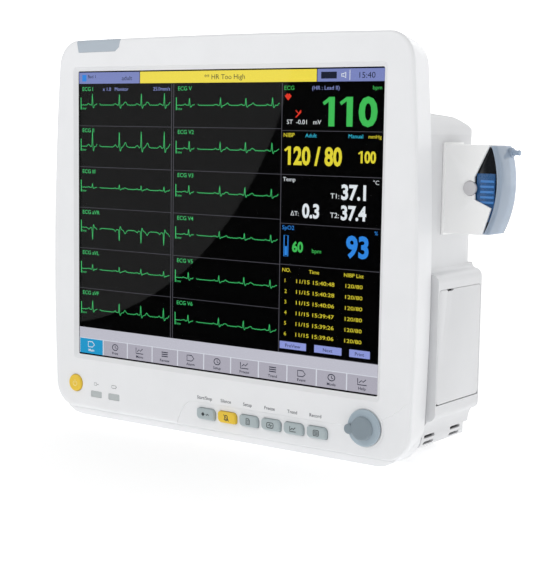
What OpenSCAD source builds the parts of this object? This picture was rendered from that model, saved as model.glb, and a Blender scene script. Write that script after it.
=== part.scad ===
/* [Front] */
// Width of the lit area of the screen
screen_w = 337.9; // [330:0.1:340]
// Height of the lit area of the screen
screen_h = 270.3; // [262:0.1:272]
// Height of the lit area above the standing level
screen_z = 60.5; // [60:0.5:62]
// Widest point of the front bezel
bezel_w = 407; // [405:1:410]
// Depth of the bezel rim
bezel_d = 34; // [33:0.5:36]
// How far the bezel's middle sits to the right of the screen's middle
bezel_x = 2.3; // [0:0.1:2.5]
// Radius of the bezel's corners
bezel_r = 22; // [18:1:26]
// How far each side bows in between the belly and the crown
side_sag = 10; // [6:0.5:11]
// How far the crown drops at its ends
crown = 1.6; // [0:0.1:3]

/* [Keys] */
// Width of a function key
key_w = 20; // [18:0.5:21]
// Height of a function key
key_h = 10; // [9:0.5:11]
// Distance from one function key to the next
key_pitch = 24.3; // [23.5:0.1:25]
// How far a function key travels
key_travel = 1.2; // [0.8:0.1:1.2]
// Diameter of the round power key
power_d = 16.4; // [14:0.2:18]
// Diameter of the rotary knob at its foot
knob_d = 32; // [28:1:34]
// Height of the rotary knob
knob_h = 6.6; // [6:0.2:9]

/* [Housing] */
// Depth from the front plane to the rear wall
body_d = 129; // [127:1:135]
// Width of the rear housing
housing_w = 390; // [388:1:392]
// Height of the housing roof at its front
housing_h = 298; // [292:0.5:300]
// Gap between the housing floor and the standing level
floor_gap = 10.5; // [9:0.5:12]
// Wall thickness of the mouldings
wall = 2.6; // [2:0.1:3]
// Distance between the screws of the rear arm mount
arm_pitch = 100; // [100:25:100]

/* [Recorder] */
// Width of the recorder door
door_w = 74.6; // [72:0.2:75]
// Height of the recorder door
door_h = 97; // [94:1:98]
// Diameter of a full paper roll
roll_d = 40; // [30:1:42]
// Width of the paper
roll_w = 57; // [50:1:58]

/* [Gas sampling] */
// Height of the water trap
trap_h = 70; // [66:1:71]
// Width of the water trap
trap_w = 22; // [20:0.5:23]

/* [Hidden] */

// The frame's origin is under the middle of the base plate, this far behind the front plane
plate_y = 65;
gap = 0.3;
white = [0.91, 0.91, 0.92];
key_grey = [0.72, 0.77, 0.78];
board_green = [0.1, 0.4, 0.25];
steel = [0.75, 0.76, 0.78];
dark = [0.12, 0.12, 0.13];

front_face = 3;
bezel_z0 = 6.5;
bezel_z1 = screen_z + 301.6;
belly_z = screen_z + 80;
key_z = screen_z - 39.3;
key_x0 = -8.7;
power_x = -171.3;
power_z = screen_z - 29.7;
knob_x = 160.5;
knob_z = screen_z - 28.3;
led_z = screen_z - 38.2;
led_x = [-144.8, -122];
flange_t = 1.5;
mat_y = front_face + gap + flange_t + key_travel + 0.4;
board_y = 8.6;
glass_y = 3.6;
lcd_y = 6;
chassis_y = 20;
floor_z = floor_gap;
rear_y = body_d;
corner_r = 25;
floor_r = 8;
side_floor_r = 10;
roof_drop = 4.5;
roof_r = 30;
roof_back_r = 38;
bulge_x = 206.5;
bulge_r = 7;
bulge_blend = 4.5;
bulge_z0 = screen_z - 24;
bulge_z1 = screen_z + 101;
door_y0 = 38.6;
notch_y = 58;
door_z0 = screen_z - 9.5;
door_t = 2.6;
door_x = bulge_x - door_t;
hinge_z = door_z0 + 8;
hinge_x = door_x - 1.5;
hinge_pin_r = 1.2;
frame_y0 = door_y0 + 6.2;
roll_x = 174;
roll_y0 = door_y0 + (door_w - roll_w) / 2;
roll_z = screen_z + 32;
platen_x = 196;
platen_z = screen_z + 80;
platen_r = 5;
holder_y0 = 60;
holder_y1 = 90;
holder_x0 = 188;
holder_x1 = 245;
trap_arc_x = 158.5;
trap_arc_r = 85.8;
holder_z0 = screen_z + 134.5;
holder_z1 = screen_z + 209;
trap_x0 = 212;
trap_z0 = holder_z0 + 2;
trap_y0 = (holder_y0 + holder_y1 - trap_w) / 2;
nozzle_y = holder_y0 + 24;
nozzle_z = screen_z + 202.8;
panel_y0 = 44;
panel_y1 = 106;
panel_z0 = screen_z - 12;
panel_z1 = screen_z + 128;
panel_x = -housing_w / 2 + 5;
arm_z = screen_z + 95;
fan_x = 105;
fan_z = screen_z + 175;
speaker_x = -110;
speaker_z = screen_z + 175;
grip_z = screen_z + 166;
grip_w = 120;
grip_h = 34;
grip_d = 28;
flap_x = -100;
flap_w = 96;
flap_z0 = floor_z + 8;
flap_h = 44;
flap_pin_y = rear_y - 4.4;
flap_pin_z = flap_z0 + 7;
flap_pin_r = 1;
inlet_x = 128;
inlet_z = floor_z + 26;
stud_x = 165;
port_x = 60;
usb_x = 30;

// Places children from the middle plane, the front plane and the standing level
module at(x, y, z) translate([x, y - plate_y, z]) children();
// Draws a flat outline in X and Z and gives it a depth along Y
module deep(y, d)
    translate([0, y - plate_y + d, 0]) rotate([90, 0, 0]) linear_extrude(d) children();
// The same outline, in Y and Z, given a thickness along X
module across(x, t) translate([x, -plate_y, 0]) rotate([90, 0, 90]) linear_extrude(t) children();
module rod(r, d, n = 48) rotate([-90, 0, 0]) cylinder(r = r, h = d, $fn = n);
module rod_x(r, d, n = 48) rotate([0, 90, 0]) cylinder(r = r, h = d, $fn = n);
module block(x0, x1, y0, y1, z0, z1) at(x0, y0, z0) cube([x1 - x0, y1 - y0, z1 - z0]);

function arc(cx, cy, r, a0, n = 5) = [for (i = [0:n]) let (a = a0 + 90 * i / n)
    [cx + r * cos(a), cy + r * sin(a)]];
// Rounded rectangle, counter-clockwise from the right side, with a radius for each corner
function rrect(w, h, r) = let (q = is_list(r) ? r : [r, r, r, r]) concat(
    arc(w / 2 - q[0], h / 2 - q[0], q[0], 0),
    arc(q[1] - w / 2, h / 2 - q[1], q[1], 90),
    arc(q[2] - w / 2, q[2] - h / 2, q[2], 180),
    arc(w / 2 - q[3], q[3] - h / 2, q[3], 270));
module pad(x, z, w, h, r) translate([x, z]) polygon(rrect(w, h, r));

// The bezel bows out at its belly and is crowned along its top
function bow(z) = 1 - side_sag / (bezel_w / 2) * pow((z - belly_z) / (bezel_z1 - belly_z), 2);
function drop(x, z) = z < belly_z ? 0 : crown * pow(2 * x / bezel_w, 2);
function bezel_outline(inset) = let (
    w = bezel_w / 2 - inset, z0 = bezel_z0 + inset, z1 = bezel_z1 - inset, r = bezel_r,
    raw = concat(
        arc(w - r, z1 - r, r, 0), [for (i = [1:5]) [(w - r) * (1 - i / 3), z1]],
        arc(r - w, z1 - r, r, 90), [for (i = [1:5]) [-w, z1 - r - i * (z1 - z0 - 2 * r) / 6]],
        arc(r - w, z0 + r, r, 180), arc(w - r, z0 + r, r, 270),
        [for (i = [1:5]) [w, z0 + r + i * (z1 - z0 - 2 * r) / 6]]))
    [for (p = raw) [p[0] * bow(p[1]), p[1] - drop(p[0], p[1])]];
module bezel_slice(y, inset) deep(y, 0.8) translate([bezel_x, 0]) polygon(bezel_outline(inset));
module bezel_skin() hull() {
    bezel_slice(0, 2.4);
    bezel_slice(0.6, 1);
    bezel_slice(2.4, 0);
    bezel_slice(bezel_d - 0.8, 4.5);
}
module bezel_core() hull() {
    bezel_slice(front_face, wall);
    bezel_slice(bezel_d + 1, 4.5 + wall);
}
module lens_outline(g) polygon([[-168 - g, screen_z + 310], [-167 - g, screen_z + 288.8 - g],
    [-121 + g, screen_z + 289.3 - g], [-116 + g, screen_z + 293], [-112.5 + g, screen_z + 310]]);
module key_outline(g) polygon(rrect(key_w + 2 * g, key_h + 2 * g, [4 + g, 2 + g, 4 + g, 2 + g]));

module front_bezel() color(white) difference() {
    bezel_skin();
    bezel_core();
    // Sloped reveal down to the glass
    hull() {
        deep(-1, 0.5) pad(0, screen_z + screen_h / 2, screen_w + 10, screen_h + 10, 3);
        deep(front_face - 0.2, 1) pad(0, screen_z + screen_h / 2, screen_w + 1, screen_h + 1, 1);
    }
    deep(-1, 6) for (i = [0:5]) translate([key_x0 + i * key_pitch, key_z]) key_outline(0.4);
    at(power_x, -1, power_z) rod(power_d / 2 + 0.4, 6);
    at(knob_x, -1, knob_z) rod(6, 8);
    deep(-1, 6) for (x = led_x) pad(x, led_z, 14.2, 6.2, 1.1);
    deep(-1, 11.2) lens_outline(0.1);
    // Step that the rear cover's flange drops into
    deep(bezel_d - 2, 3) translate([bezel_x, 0]) polygon(bezel_outline(6));
}

// Outlines of the rear housing from above and from the side; an inset one is the hollow, open in front
function shell_y0(inset) = bezel_d + 2 - 2 * inset;
function shell_plan(inset) = let (c = housing_w / 2 - corner_r, r = corner_r - inset) concat(
    [[-c - r, shell_y0(inset)], [c + r, shell_y0(inset)]],
    arc(c, rear_y - corner_r, r, 0, 8), arc(-c, rear_y - corner_r, r, 90, 8));
function shell_side(inset) = let (r = roof_back_r - inset, q = floor_r - inset) concat(
    [[shell_y0(inset), floor_z + inset]],
    arc(rear_y - floor_r, floor_z + floor_r, q, 270),
    arc(rear_y - roof_back_r, housing_h - roof_drop - roof_back_r, r, 0, 8),
    [[shell_y0(inset), housing_h - inset]]);
module rear_shell(inset) intersection() {
    translate([0, -plate_y, 0]) linear_extrude(400) polygon(shell_plan(inset));
    across(-250, 500) polygon(shell_side(inset));
    deep(bezel_d - 10, 120) pad(0, (housing_h + floor_z) / 2, housing_w - 2 * inset,
        housing_h - floor_z - 2 * inset, [roof_r, roof_r, side_floor_r, side_floor_r]);
}
// The recorder's bulge on the right wall, which blends into the wall above and tapers off below
function bulge_outline(inset) = concat([[150, bulge_z0 + inset]],
    arc(bulge_x - bulge_r, bulge_z0 + bulge_r, bulge_r - inset, 270),
    arc(bulge_x - bulge_r, bulge_z1 - bulge_r, bulge_r - inset, 0), [[150, bulge_z1 - inset]]);
function bulge_blends() = let (x = housing_w / 2, q = bulge_blend) concat(
    [[150, bulge_z0 - 13], [x, bulge_z0 - 13], [x + 0.6, bulge_z0 - 8], [x + 2, bulge_z0 - 3.5],
        [x + q, bulge_z0 - 0.3], [x + q + 1, bulge_z0 + 4], [x + q + 1, bulge_z1 - 4], [x + q, bulge_z1]],
    [for (i = [1:8]) let (a = 270 - i * 11.25) [x + q + q * cos(a), bulge_z1 + q + q * sin(a)]],
    [[150, bulge_z1 + q]]);
module bulge(inset) intersection() {
    deep(bezel_d + 3 + inset, 84 - 2 * inset) union() {
        polygon(bulge_outline(inset));
        if (inset == 0) polygon(bulge_blends());
    }
    translate([0, -plate_y, 0]) linear_extrude(400) polygon([[140, 30], [bulge_x + 1, 30],
        [bulge_x + 1, 80], [bulge_x - inset, door_y0 + door_w + 2], [186 - inset, 121 - inset],
        [140, 121 - inset]]);
}
module slots(x, z, n, w, pitch) for (i = [0:n - 1])
    pad(x, z + (i - (n - 1) / 2) * pitch, w, 2.4, 1.1);

// Closes the bezel's back around the rear cover's mouth
module screen_back() color(white) difference() {
    union() {
        deep(bezel_d, 2.6) translate([bezel_x, 0]) polygon(bezel_outline(6.5));
        deep(bezel_d - 1.8, 2) translate([bezel_x, 0]) polygon(bezel_outline(8));
    }
    deep(bezel_d - 3, 8) pad(0, (housing_h + floor_z) / 2, housing_w + 0.4,
        housing_h - floor_z + 0.4, [roof_r, roof_r, side_floor_r, side_floor_r]);
}
module rear_cover() color(white) difference() {
    union() {
        difference() {
            union() {
                rear_shell(0);
                bulge(0);
            }
            rear_shell(wall);
            bulge(wall);
        }
        // Pocket of the carrying grip
        block(-grip_w / 2 - wall, grip_w / 2 + wall, rear_y - grip_d - wall, rear_y - 1,
            grip_z - wall, grip_z + grip_h + wall);
        // Bosses of the arm mount
        for (sx = [-1, 1], sz = [-1, 1])
            at(sx * arm_pitch / 2, rear_y - 12, arm_z + sz * arm_pitch / 2) rod(6, 11);
    }
    block(-grip_w / 2, grip_w / 2, rear_y - grip_d, rear_y + 5, grip_z, grip_z + grip_h);
    for (sx = [-1, 1], sz = [-1, 1])
        at(sx * arm_pitch / 2, rear_y - 11, arm_z + sz * arm_pitch / 2) rod(3, 20);
    // Recorder opening
    across(door_x - 0.4, 20) pad(door_y0 + door_w / 2, door_z0 + door_h / 2, door_w + 0.8, door_h + 0.8, 4);
    block(bulge_x - 12, bulge_x + 5, frame_y0 - 4.6, door_y0 + door_w - 1.6, door_z0, door_z0 + door_h - 3);
    block(bulge_x - 14, bulge_x + 5, door_y0 - 0.4, door_y0 + door_w + 0.4, door_z0 - 0.9, hinge_z + 2.4);
    // Gas module opening
    block(holder_x0 - 2, 200, holder_y0 - 0.1, holder_y1 + 0.1, holder_z0 - 0.1, holder_z1 + 0.1);
    // Patient panel opening
    block(-200, panel_x + 8, panel_y0, panel_y1, panel_z0, panel_z1);
    // Battery flap, inlet and ports
    block(flap_x - flap_w / 2 - 0.4, flap_x + flap_w / 2 + 0.4, rear_y - 12, rear_y + 2,
        flap_z0 - 1.4, flap_z0 + flap_h + 0.4);
    block(inlet_x - 14, inlet_x + 14, rear_y - 6, rear_y + 2, inlet_z - 10.5, inlet_z + 10.5);
    at(stud_x, rear_y - 14, inlet_z) rod(4.1, 20);
    block(port_x - 8.1, port_x + 8.1, rear_y - 6, rear_y + 2, inlet_z - 7.1, inlet_z + 7.1);
    block(usb_x - 7.6, usb_x + 7.6, rear_y - 6, rear_y + 2, inlet_z - 4.1, inlet_z + 4.1);
    // Fan and speaker grilles
    deep(rear_y - 6, 12) slots(fan_x, fan_z, 9, 50, 5.5);
    deep(rear_y - 6, 12) slots(speaker_x, speaker_z, 7, 34, 5);
    // Side vents beside the floor
    for (s = [-1, 1], y = [49, 95], z = [16.2, 21.8])
        across(s > 0 ? housing_w / 2 - 12 : -housing_w / 2 - 8, 20) pad(y, z, 18, 2.8, 1.2);
    // Holes for the cover screws and the base plate
    for (x = [-150, 150], z = [floor_z + 70, housing_h - 40]) at(x, rear_y - 8, z) rod(3.6, 12);
    for (x = [-45, 45], y = [-20, 20]) translate([x, y, 0]) cylinder(r = 2.2, h = 20, $fn = 32);
}

// The front rail follows the bezel's lower edge round both corners
module front_foot() color(white) difference() {
    deep(3, 27) pad(bezel_x, 20, 392, 40, [1, 1, 28, 28]);
    bezel_skin();
}
module rubber_feet() color(dark) for (x = [-150, 150])
    at(x, 100, 0) difference() {
        cylinder(r1 = 11, r2 = 12, h = floor_z, $fn = 48);
        translate([0, 0, -1]) cylinder(r = 3.5, h = 6, $fn = 32);
    }
module base_plate() color(steel) difference() {
    deep(plate_y - 28, 56) polygon([[-60, 0], [60, 0], [55, floor_z], [-55, floor_z]]);
    for (x = [-25, 25], y = [-20, 20]) translate([x, y, -1]) cylinder(r = 2.1, h = 20, $fn = 32);
    for (x = [-45, 45], y = [-20, 20]) translate([x, y, -1]) {
        cylinder(r = 2.2, h = 20, $fn = 32);
        cylinder(r = 4, h = 4.5, $fn = 32);
    }
}

module touch_glass() color([0.2, 0.22, 0.24, 0.5])
    deep(glass_y, 2) pad(0, screen_z + screen_h / 2, screen_w + 12, screen_h + 12, 2);
module screen_gasket() color(dark) deep(front_face, glass_y - front_face) difference() {
    pad(0, screen_z + screen_h / 2, screen_w + 12, screen_h + 12, 2);
    pad(0, screen_z + screen_h / 2, screen_w + 2, screen_h + 2, 1);
}
module lcd_module() color(steel) difference() {
    deep(lcd_y, 12) pad(0, screen_z + screen_h / 2, screen_w + 20, screen_h + 24, 2);
    deep(lcd_y - 1, 1.6) pad(0, screen_z + screen_h / 2, screen_w + 2, screen_h + 2, 1);
}

module keypad_mat() color([0.8, 0.82, 0.82]) deep(mat_y, board_y - mat_y) {
    pad(key_x0 + 2.5 * key_pitch, key_z, 150, 18, 3);
    pad(power_x, power_z, 22, 22, 4);
}
module key_board() color(board_green) deep(board_y, 1.6) difference() {
    pad(0, screen_z - 31, 364, 32, 3);
    translate([knob_x, knob_z]) circle(r = 6, $fn = 48);
}
// A key's cap stands proud of the bezel and its flange holds it from behind
module key(i) color(i == 1 ? [0.92, 0.79, 0.25] : key_grey) {
    x = key_x0 + i * key_pitch;
    deep(-2.6, 5.9) translate([x, key_z]) key_outline(0);
    deep(front_face + gap, flange_t) pad(x, key_z, key_w + 2.6, key_h + 3, 3);
}
module key_1() key(0);
module key_2() key(1);
module key_3() key(2);
module key_4() key(3);
module key_5() key(4);
module key_6() key(5);
module key_power() color([0.92, 0.79, 0.25]) at(power_x, 0, power_z) {
    translate([0, -2.2, 0]) rod(power_d / 2, 5.6);
    translate([0, front_face + gap, 0]) rod(power_d / 2 + 1.5, flange_t);
}

module encoder() color(steel) difference() {
    union() {
        block(knob_x - 7, knob_x + 7, board_y + 1.7, board_y + 11, knob_z - 7, knob_z + 7);
        at(knob_x, 4, knob_z) rod(4.5, 8);
    }
    at(knob_x, 2, knob_z) rod(3.05, 16.5);
    at(knob_x, board_y + 8.4, knob_z) rod(5, 6);
}
// The stem slides and carries the turning shaft on its face
module push_stem() color(steel) at(knob_x, board_y + 9.2, knob_z) rod(4.5, 1.4);
module knob_shaft() color(steel) at(knob_x, 2 - knob_h, knob_z) rod(3, board_y + 7 + knob_h);
module knob() color([0.56, 0.63, 0.67]) at(knob_x, 0, knob_z) rotate([90, 0, 0]) {
    rotate_extrude($fn = 96) polygon([[3.1, 1.2], [knob_d / 2, 1.2],
        [knob_d / 2 - 0.4, 2.2], [knob_d / 2 - 3.4, knob_h], [knob_d / 2 - 5, knob_h + 1.2],
        [8.6, knob_h + 1.2], [6, knob_h + 0.1], [0, knob_h - 0.4], [0, knob_h - 1.8],
        [3.1, knob_h - 1.8]]);
    // Thumb lug that reaches past the rim
    rotate([0, 0, 195]) translate([10.4, -4.2, 1.2]) cube([knob_d / 2 - 9.4, 8.4, knob_h + 0.4]);
}

module alarm_lens() color([0.7, 0.75, 0.78, 0.8]) difference() {
    intersection() {
        bezel_skin();
        deep(-1, 11) lens_outline(0);
    }
    bezel_core();
}
module alarm_board() color(board_green)
    deep(14, 1.6) pad(-140, bezel_z1 - 11.5, 60, 8, 1);
module led_windows() color([0.55, 0.6, 0.6, 0.8])
    deep(0.3, front_face + 0.5) for (x = led_x) pad(x, led_z, 14, 6, 1);

module chassis() color(steel) {
    difference() {
        union() {
            block(-166, 166, chassis_y, chassis_y + 1.6, screen_z - 8, screen_z + 278);
            block(-166, 140, chassis_y, chassis_y + 1.6, floor_z + 6, screen_z - 8);
            block(-166, 140, chassis_y, 116, floor_z + 6, floor_z + 7.6);
        }
        for (x = [-120:60:120], z = [screen_z + 40, screen_z + 240])
            at(x, chassis_y - 1, z) rod(12, 4);
    }
    // Standoffs of the main board
    for (x = [-90, 60], z = [screen_z + 12, screen_z + 148]) at(x, chassis_y + 1.6, z) rod(3, 18.4);
}
module main_board() color(board_green) {
    block(-98, 68, chassis_y + 20, chassis_y + 21.6, screen_z + 4, screen_z + 156);
    color(dark) {
        block(-30, 5, chassis_y + 21.6, chassis_y + 24, screen_z + 80, screen_z + 115);
        block(20, 50, chassis_y + 21.6, chassis_y + 24.5, screen_z + 40, screen_z + 56);
        block(-80, -56, chassis_y + 21.6, chassis_y + 24, screen_z + 30, screen_z + 54);
    }
}
module parameter_board() color(board_green) {
    block(-166, -164.4, 42, 116, screen_z - 10, screen_z + 126);
    color(steel) block(-164.4, -158, 52, 104, screen_z + 60, screen_z + 112);
}
module power_supply() color(steel) difference() {
    block(84, 142, 60, 104, floor_z + 7.7, screen_z + 90);
    block(85.2, 140.8, 61.2, 105, floor_z + 9, screen_z + 88.8);
}
module battery_pack() color([0.2, 0.25, 0.35])
    block(flap_x - 44, flap_x + 44, 50, rear_y - 15, floor_z + 10.5, floor_z + 49);
// The tray holds the battery and the flap's two pins
module battery_tray() color(steel) {
    tray_y1 = rear_y - 12.8;
    block(flap_x - 46, flap_x + 46, 48, tray_y1, floor_z + 8.2, floor_z + 10.2);
    for (s = [-1, 1]) translate([flap_x + s * 36, 0, 0]) {
        block(-2, 2, tray_y1 - 1.8, tray_y1, floor_z + 10, flap_pin_z + 5);
        block(-2, 2, tray_y1 - 0.1, flap_pin_y, flap_pin_z - 0.9, flap_pin_z + 5);
        at(-6 - s * 4, flap_pin_y, flap_pin_z) rod_x(flap_pin_r, 12);
    }
}
// The flap turns on the tray's pins along its lower edge
module battery_door() color(white) {
    block(flap_x - flap_w / 2, flap_x + flap_w / 2, rear_y - 3, rear_y - 0.2, flap_z0, flap_z0 + flap_h);
    block(flap_x - 8, flap_x + 8, rear_y - 0.2, rear_y + 1.2, flap_z0 + flap_h - 9, flap_z0 + flap_h - 6);
    for (s = [-1, 1]) difference() {
        union() {
            at(flap_x + s * 30.5 - 3.2, flap_pin_y, flap_pin_z) rod_x(2.2, 6.4);
            block(flap_x + s * 30.5 - 3.2, flap_x + s * 30.5 + 3.2, flap_pin_y, rear_y - 2.8,
                flap_pin_z - 2.2, flap_pin_z + 2.2);
        }
        at(flap_x + s * 30.5 - 4, flap_pin_y, flap_pin_z) rod_x(flap_pin_r + 0.05, 8);
    }
}

module nibp_pump() color(dark) at(-125, 76, screen_z + 92) {
    cylinder(r = 13.5, h = 34, $fn = 64);
    translate([-15, -15, 34]) cube([30, 30, 20]);
}
module nibp_manifold() color([0.85, 0.85, 0.8]) {
    block(-152, -132, 60, 100, screen_z + 10, screen_z + 30);
    color(steel) for (y = [68, 80, 92]) at(-142, y, screen_z + 30) cylinder(r = 5, h = 16, $fn = 32);
}
module gas_bench() color([0.3, 0.3, 0.33]) {
    block(120, 186, 46, 104, screen_z + 140, screen_z + 196);
}

// Curve of the trap's front, seen from the bezel
module trap_arc(r) at(trap_arc_x, holder_y0 - 6, holder_z0 + 42.3) rod(r, 42, 160);
// The holder's front wall is cut away in a slanted notch around the trap
module trap_holder() color([0.95, 0.95, 0.95]) difference() {
    intersection() {
        union() {
            block(holder_x0, holder_x1, holder_y0, holder_y1, holder_z0, holder_z1);
            block(195.2, 197, holder_y0 - 1.6, holder_y1 + 1.6, holder_z0 - 1.6, holder_z1 + 1.6);
        }
        trap_arc(trap_arc_r - 0.3);
    }
    block(holder_x0 + 3, holder_x1 + 9, holder_y0 + 2.4, holder_y1 - 2.4, holder_z0 + 1.8, holder_z1 - 1.8);
    deep(holder_y0 - 5, 8) polygon([[238, holder_z1 + 1], [224, holder_z0 + 47.5],
        [225.2, holder_z0 + 29], [240.3, holder_z0 + 22.5], [232.6, holder_z0 - 1],
        [250, holder_z0 - 1], [250, holder_z1 + 1]]);
    at(220.5, holder_y0 - 5, holder_z0 + 38.5) rod(6.3, 9);
}
module trap_receptacle() color(dark) difference() {
    block(holder_x0 + 3.2, trap_x0 - 0.2, holder_y0 + 2.6, holder_y1 - 2.6, holder_z0 + 2, holder_z1 - 2);
    for (z = [24, 50]) at(trap_x0 - 8, holder_y0 + 15, holder_z0 + z) rod_x(2.6, 9);
}
// The trap's cup with its two sample ports
module trap_body() color([0.2, 0.4, 0.62]) {
    intersection() {
        block(trap_x0, 250, trap_y0, trap_y0 + trap_w, trap_z0, trap_z0 + trap_h);
        trap_arc(trap_arc_r);
    }
    for (z = [24, 50]) at(trap_x0 - 7, holder_y0 + 15, holder_z0 + z) rod_x(2.3, 7.1);
    for (i = [0:4]) translate([0, 0, holder_z0 + 28 + i * 4.4])
        block(228, 241, trap_y0 - 1.2, trap_y0, 0, 2);
}
// The cover's nozzle stands on a flat shoulder
module trap_cover() color([0.66, 0.71, 0.77, 0.85]) {
    difference() {
        intersection() {
            block(215, 260, holder_y0 - 0.2, holder_y1 - 1, holder_z0 + 0.4, holder_z1 - 0.4);
            trap_arc(trap_arc_r + 5.2);
        }
        trap_arc(trap_arc_r);
    }
    at(242, nozzle_y, nozzle_z) difference() {
        union() {
            rod_x(2.3, 12);
            rod_x(4.2, 5.6);
        }
        translate([6, 0, 0]) rod_x(1.2, 12);
    }
}
module trap_release() color([0.7, 0.7, 0.7]) at(220.5, holder_y0 - 1.2, holder_z0 + 38.5) rod(6, 2.6);

module speaker() color(dark) at(speaker_x, rear_y - 22, speaker_z) {
    rod(22, 12);
    translate([0, 12, 0]) rod(25, 4);
}
module fan_frame() color(dark) difference() {
    block(fan_x - 30, fan_x + 30, rear_y - 20, rear_y - 5, fan_z - 30, fan_z + 30);
    at(fan_x, rear_y - 18, fan_z) rod(28, 20);
    at(fan_x, rear_y - 21, fan_z) difference() {
        rod(28, 4);
        rod(12, 4);
        translate([-30, 0, -2]) cube([60, 4, 4]);
        translate([-2, 0, -30]) cube([4, 4, 60]);
    }
}
module fan_rotor() color([0.2, 0.2, 0.22]) at(fan_x, rear_y - 16.5, fan_z) {
    rod(11, 9);
    for (i = [0:6]) rotate([0, i * 360 / 7, 0]) translate([9, 5, 0]) rotate([35, 0, 0]) cube([16.5, 1.4, 9]);
}

module side_panel() color([0.8, 0.81, 0.83]) difference() {
    block(panel_x - 2.8, panel_x, panel_y0 + 0.2, panel_y1 - 0.2, panel_z0 + 0.2, panel_z1 - 0.2);
    for (s = panel_sockets()) at(panel_x - 6, s[0], s[1]) rod_x(s[2] + 0.2, 12);
}
// Place and outer radius of every patient socket on the side panel
function panel_sockets() = [[80, panel_z0 + 115, 13], [80, panel_z0 + 80, 11],
    [64, panel_z0 + 50, 6.5], [96, panel_z0 + 50, 6.5], [80, panel_z0 + 20, 8]];
module socket(i, bore) let (s = panel_sockets()[i]) at(panel_x - 4.4, s[0], s[1]) difference() {
    union() {
        rod_x(s[2], 18);
        translate([4.5, 0, 0]) rod_x(s[2] + 1.5, 3);
    }
    translate([-1, 0, 0]) rod_x(bore, 13);
}
module socket_ecg() color([0.2, 0.5, 0.3]) socket(0, 9);
module socket_spo2() color([0.25, 0.4, 0.7]) socket(1, 7);
module sockets_temp() color([0.5, 0.4, 0.3]) {
    socket(2, 3.2);
    socket(3, 3.2);
}
module socket_nibp() color(steel) socket(4, 4.5);

module mains_inlet() color(dark) difference() {
    union() {
        block(inlet_x - 13.9, inlet_x + 13.9, rear_y - 24, rear_y, inlet_z - 10.4, inlet_z + 10.4);
        block(inlet_x - 16, inlet_x + 16, rear_y, rear_y + 1.6, inlet_z - 12.5, inlet_z + 12.5);
    }
    block(inlet_x - 12.4, inlet_x + 12.4, rear_y - 15, rear_y + 3, inlet_z - 8.4, inlet_z + 8.4);
}
module ground_stud() color(steel) at(stud_x, 0, inlet_z) {
    translate([0, rear_y - 12, 0]) rod(4, 14);
    translate([0, rear_y + 2, 0]) rod(3, 8);
}
module network_port() color(steel) difference() {
    block(port_x - 8, port_x + 8, rear_y - 18, rear_y + 0.4, inlet_z - 7, inlet_z + 7);
    block(port_x - 6, port_x + 6, rear_y - 14, rear_y + 2, inlet_z - 4.5, inlet_z + 4.5);
}
module usb_port() color(steel) difference() {
    block(usb_x - 7.5, usb_x + 7.5, rear_y - 18, rear_y + 0.4, inlet_z - 4, inlet_z + 4);
    block(usb_x - 6.6, usb_x + 6.6, rear_y - 12, rear_y + 2, inlet_z - 2.9, inlet_z + 2.9);
}
module cover_screws() color(steel) for (x = [-150, 150], z = [floor_z + 70, housing_h - 40])
    at(x, rear_y - 16, z) {
        rod(1.8, 10);
        translate([0, 10, 0]) rod(3.4, 3);
    }
module mount_inserts() color([0.8, 0.65, 0.3]) for (sx = [-1, 1], sz = [-1, 1])
    at(sx * arm_pitch / 2, rear_y - 10.5, arm_z + sz * arm_pitch / 2) difference() {
        rod(2.95, 10.3);
        translate([0, -1, 0]) rod(2, 13);
    }

module recorder_frame() color([0.25, 0.26, 0.28]) {
    difference() {
        block(150, 196, frame_y0, door_y0 + door_w - 6.2, hinge_z + 4, platen_z + 8);
        block(152, 200, roll_y0 - 2.5, roll_y0 + roll_w + 2.5, hinge_z + 6, platen_z + 10);
    }
    // Stub pins that the roll turns on
    for (y = [roll_y0 - 2.6, roll_y0 + roll_w - 3]) at(roll_x, y, roll_z) rod(6.45, 5.6);
    // Lugs and pins of the door hinge
    for (y = [frame_y0, door_y0 + door_w - 10.2]) {
        block(190, hinge_x, y, y + 4, hinge_z - 1.1, hinge_z + 5);
        at(hinge_x, y - (y > roll_y0 ? 7 : 0), hinge_z) rod(hinge_pin_r, 11);
    }
}
module print_head() color(dark)
    block(182, 190.4, roll_y0 + 0.5, roll_y0 + roll_w - 0.5, platen_z - 6, platen_z + 4);
module paper_roll() color([0.97, 0.97, 0.95]) at(roll_x, roll_y0, roll_z) difference() {
    rod(roll_d / 2, roll_w, 96);
    translate([0, -1, 0]) rod(6.5, roll_w + 2);
}
module platen_roller() color(dark) at(platen_x, roll_y0, platen_z) {
    translate([0, 1, 0]) rod(platen_r, roll_w - 2);
    translate([0, -1.5, 0]) rod(1.5, roll_w + 3);
}
// The door carries the platen between two ears and turns on a pin along its lower edge
module recorder_door() color(white) {
    difference() {
        across(door_x, door_t) pad(door_y0 + door_w / 2, door_z0 + door_h / 2, door_w, door_h, 4);
        across(door_x - 1, 6) pad(notch_y, door_z0 + door_h, 11, 3, 1.2);
    }
    // Hinge knuckles beside the frame's lugs
    for (y = [frame_y0 + 4.3, door_y0 + door_w - 17.1]) difference() {
        union() {
            at(hinge_x, y, hinge_z) rod(2.4, 6.6);
            block(hinge_x, door_x + 0.2, y, y + 6.6, hinge_z - 2.4, hinge_z + 2.4);
        }
        at(hinge_x, y - 1, hinge_z) rod(hinge_pin_r + 0.05, 9);
    }
    // Ears that carry the platen
    for (y = [roll_y0 - 1.2, roll_y0 + roll_w - 0.6]) difference() {
        block(platen_x - 3, door_x + 0.2, y, y + 1.8, platen_z - 3.5, platen_z + 3.5);
        at(platen_x, y - 1, platen_z) rod(1.55, 4);
    }
}
module door_latch() color(white)
    block(platen_x + platen_r + 0.4, door_x - 0.3, notch_y - 4.5, notch_y + 4.5,
        door_z0 + door_h - 7, door_z0 + door_h - 4);

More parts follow.
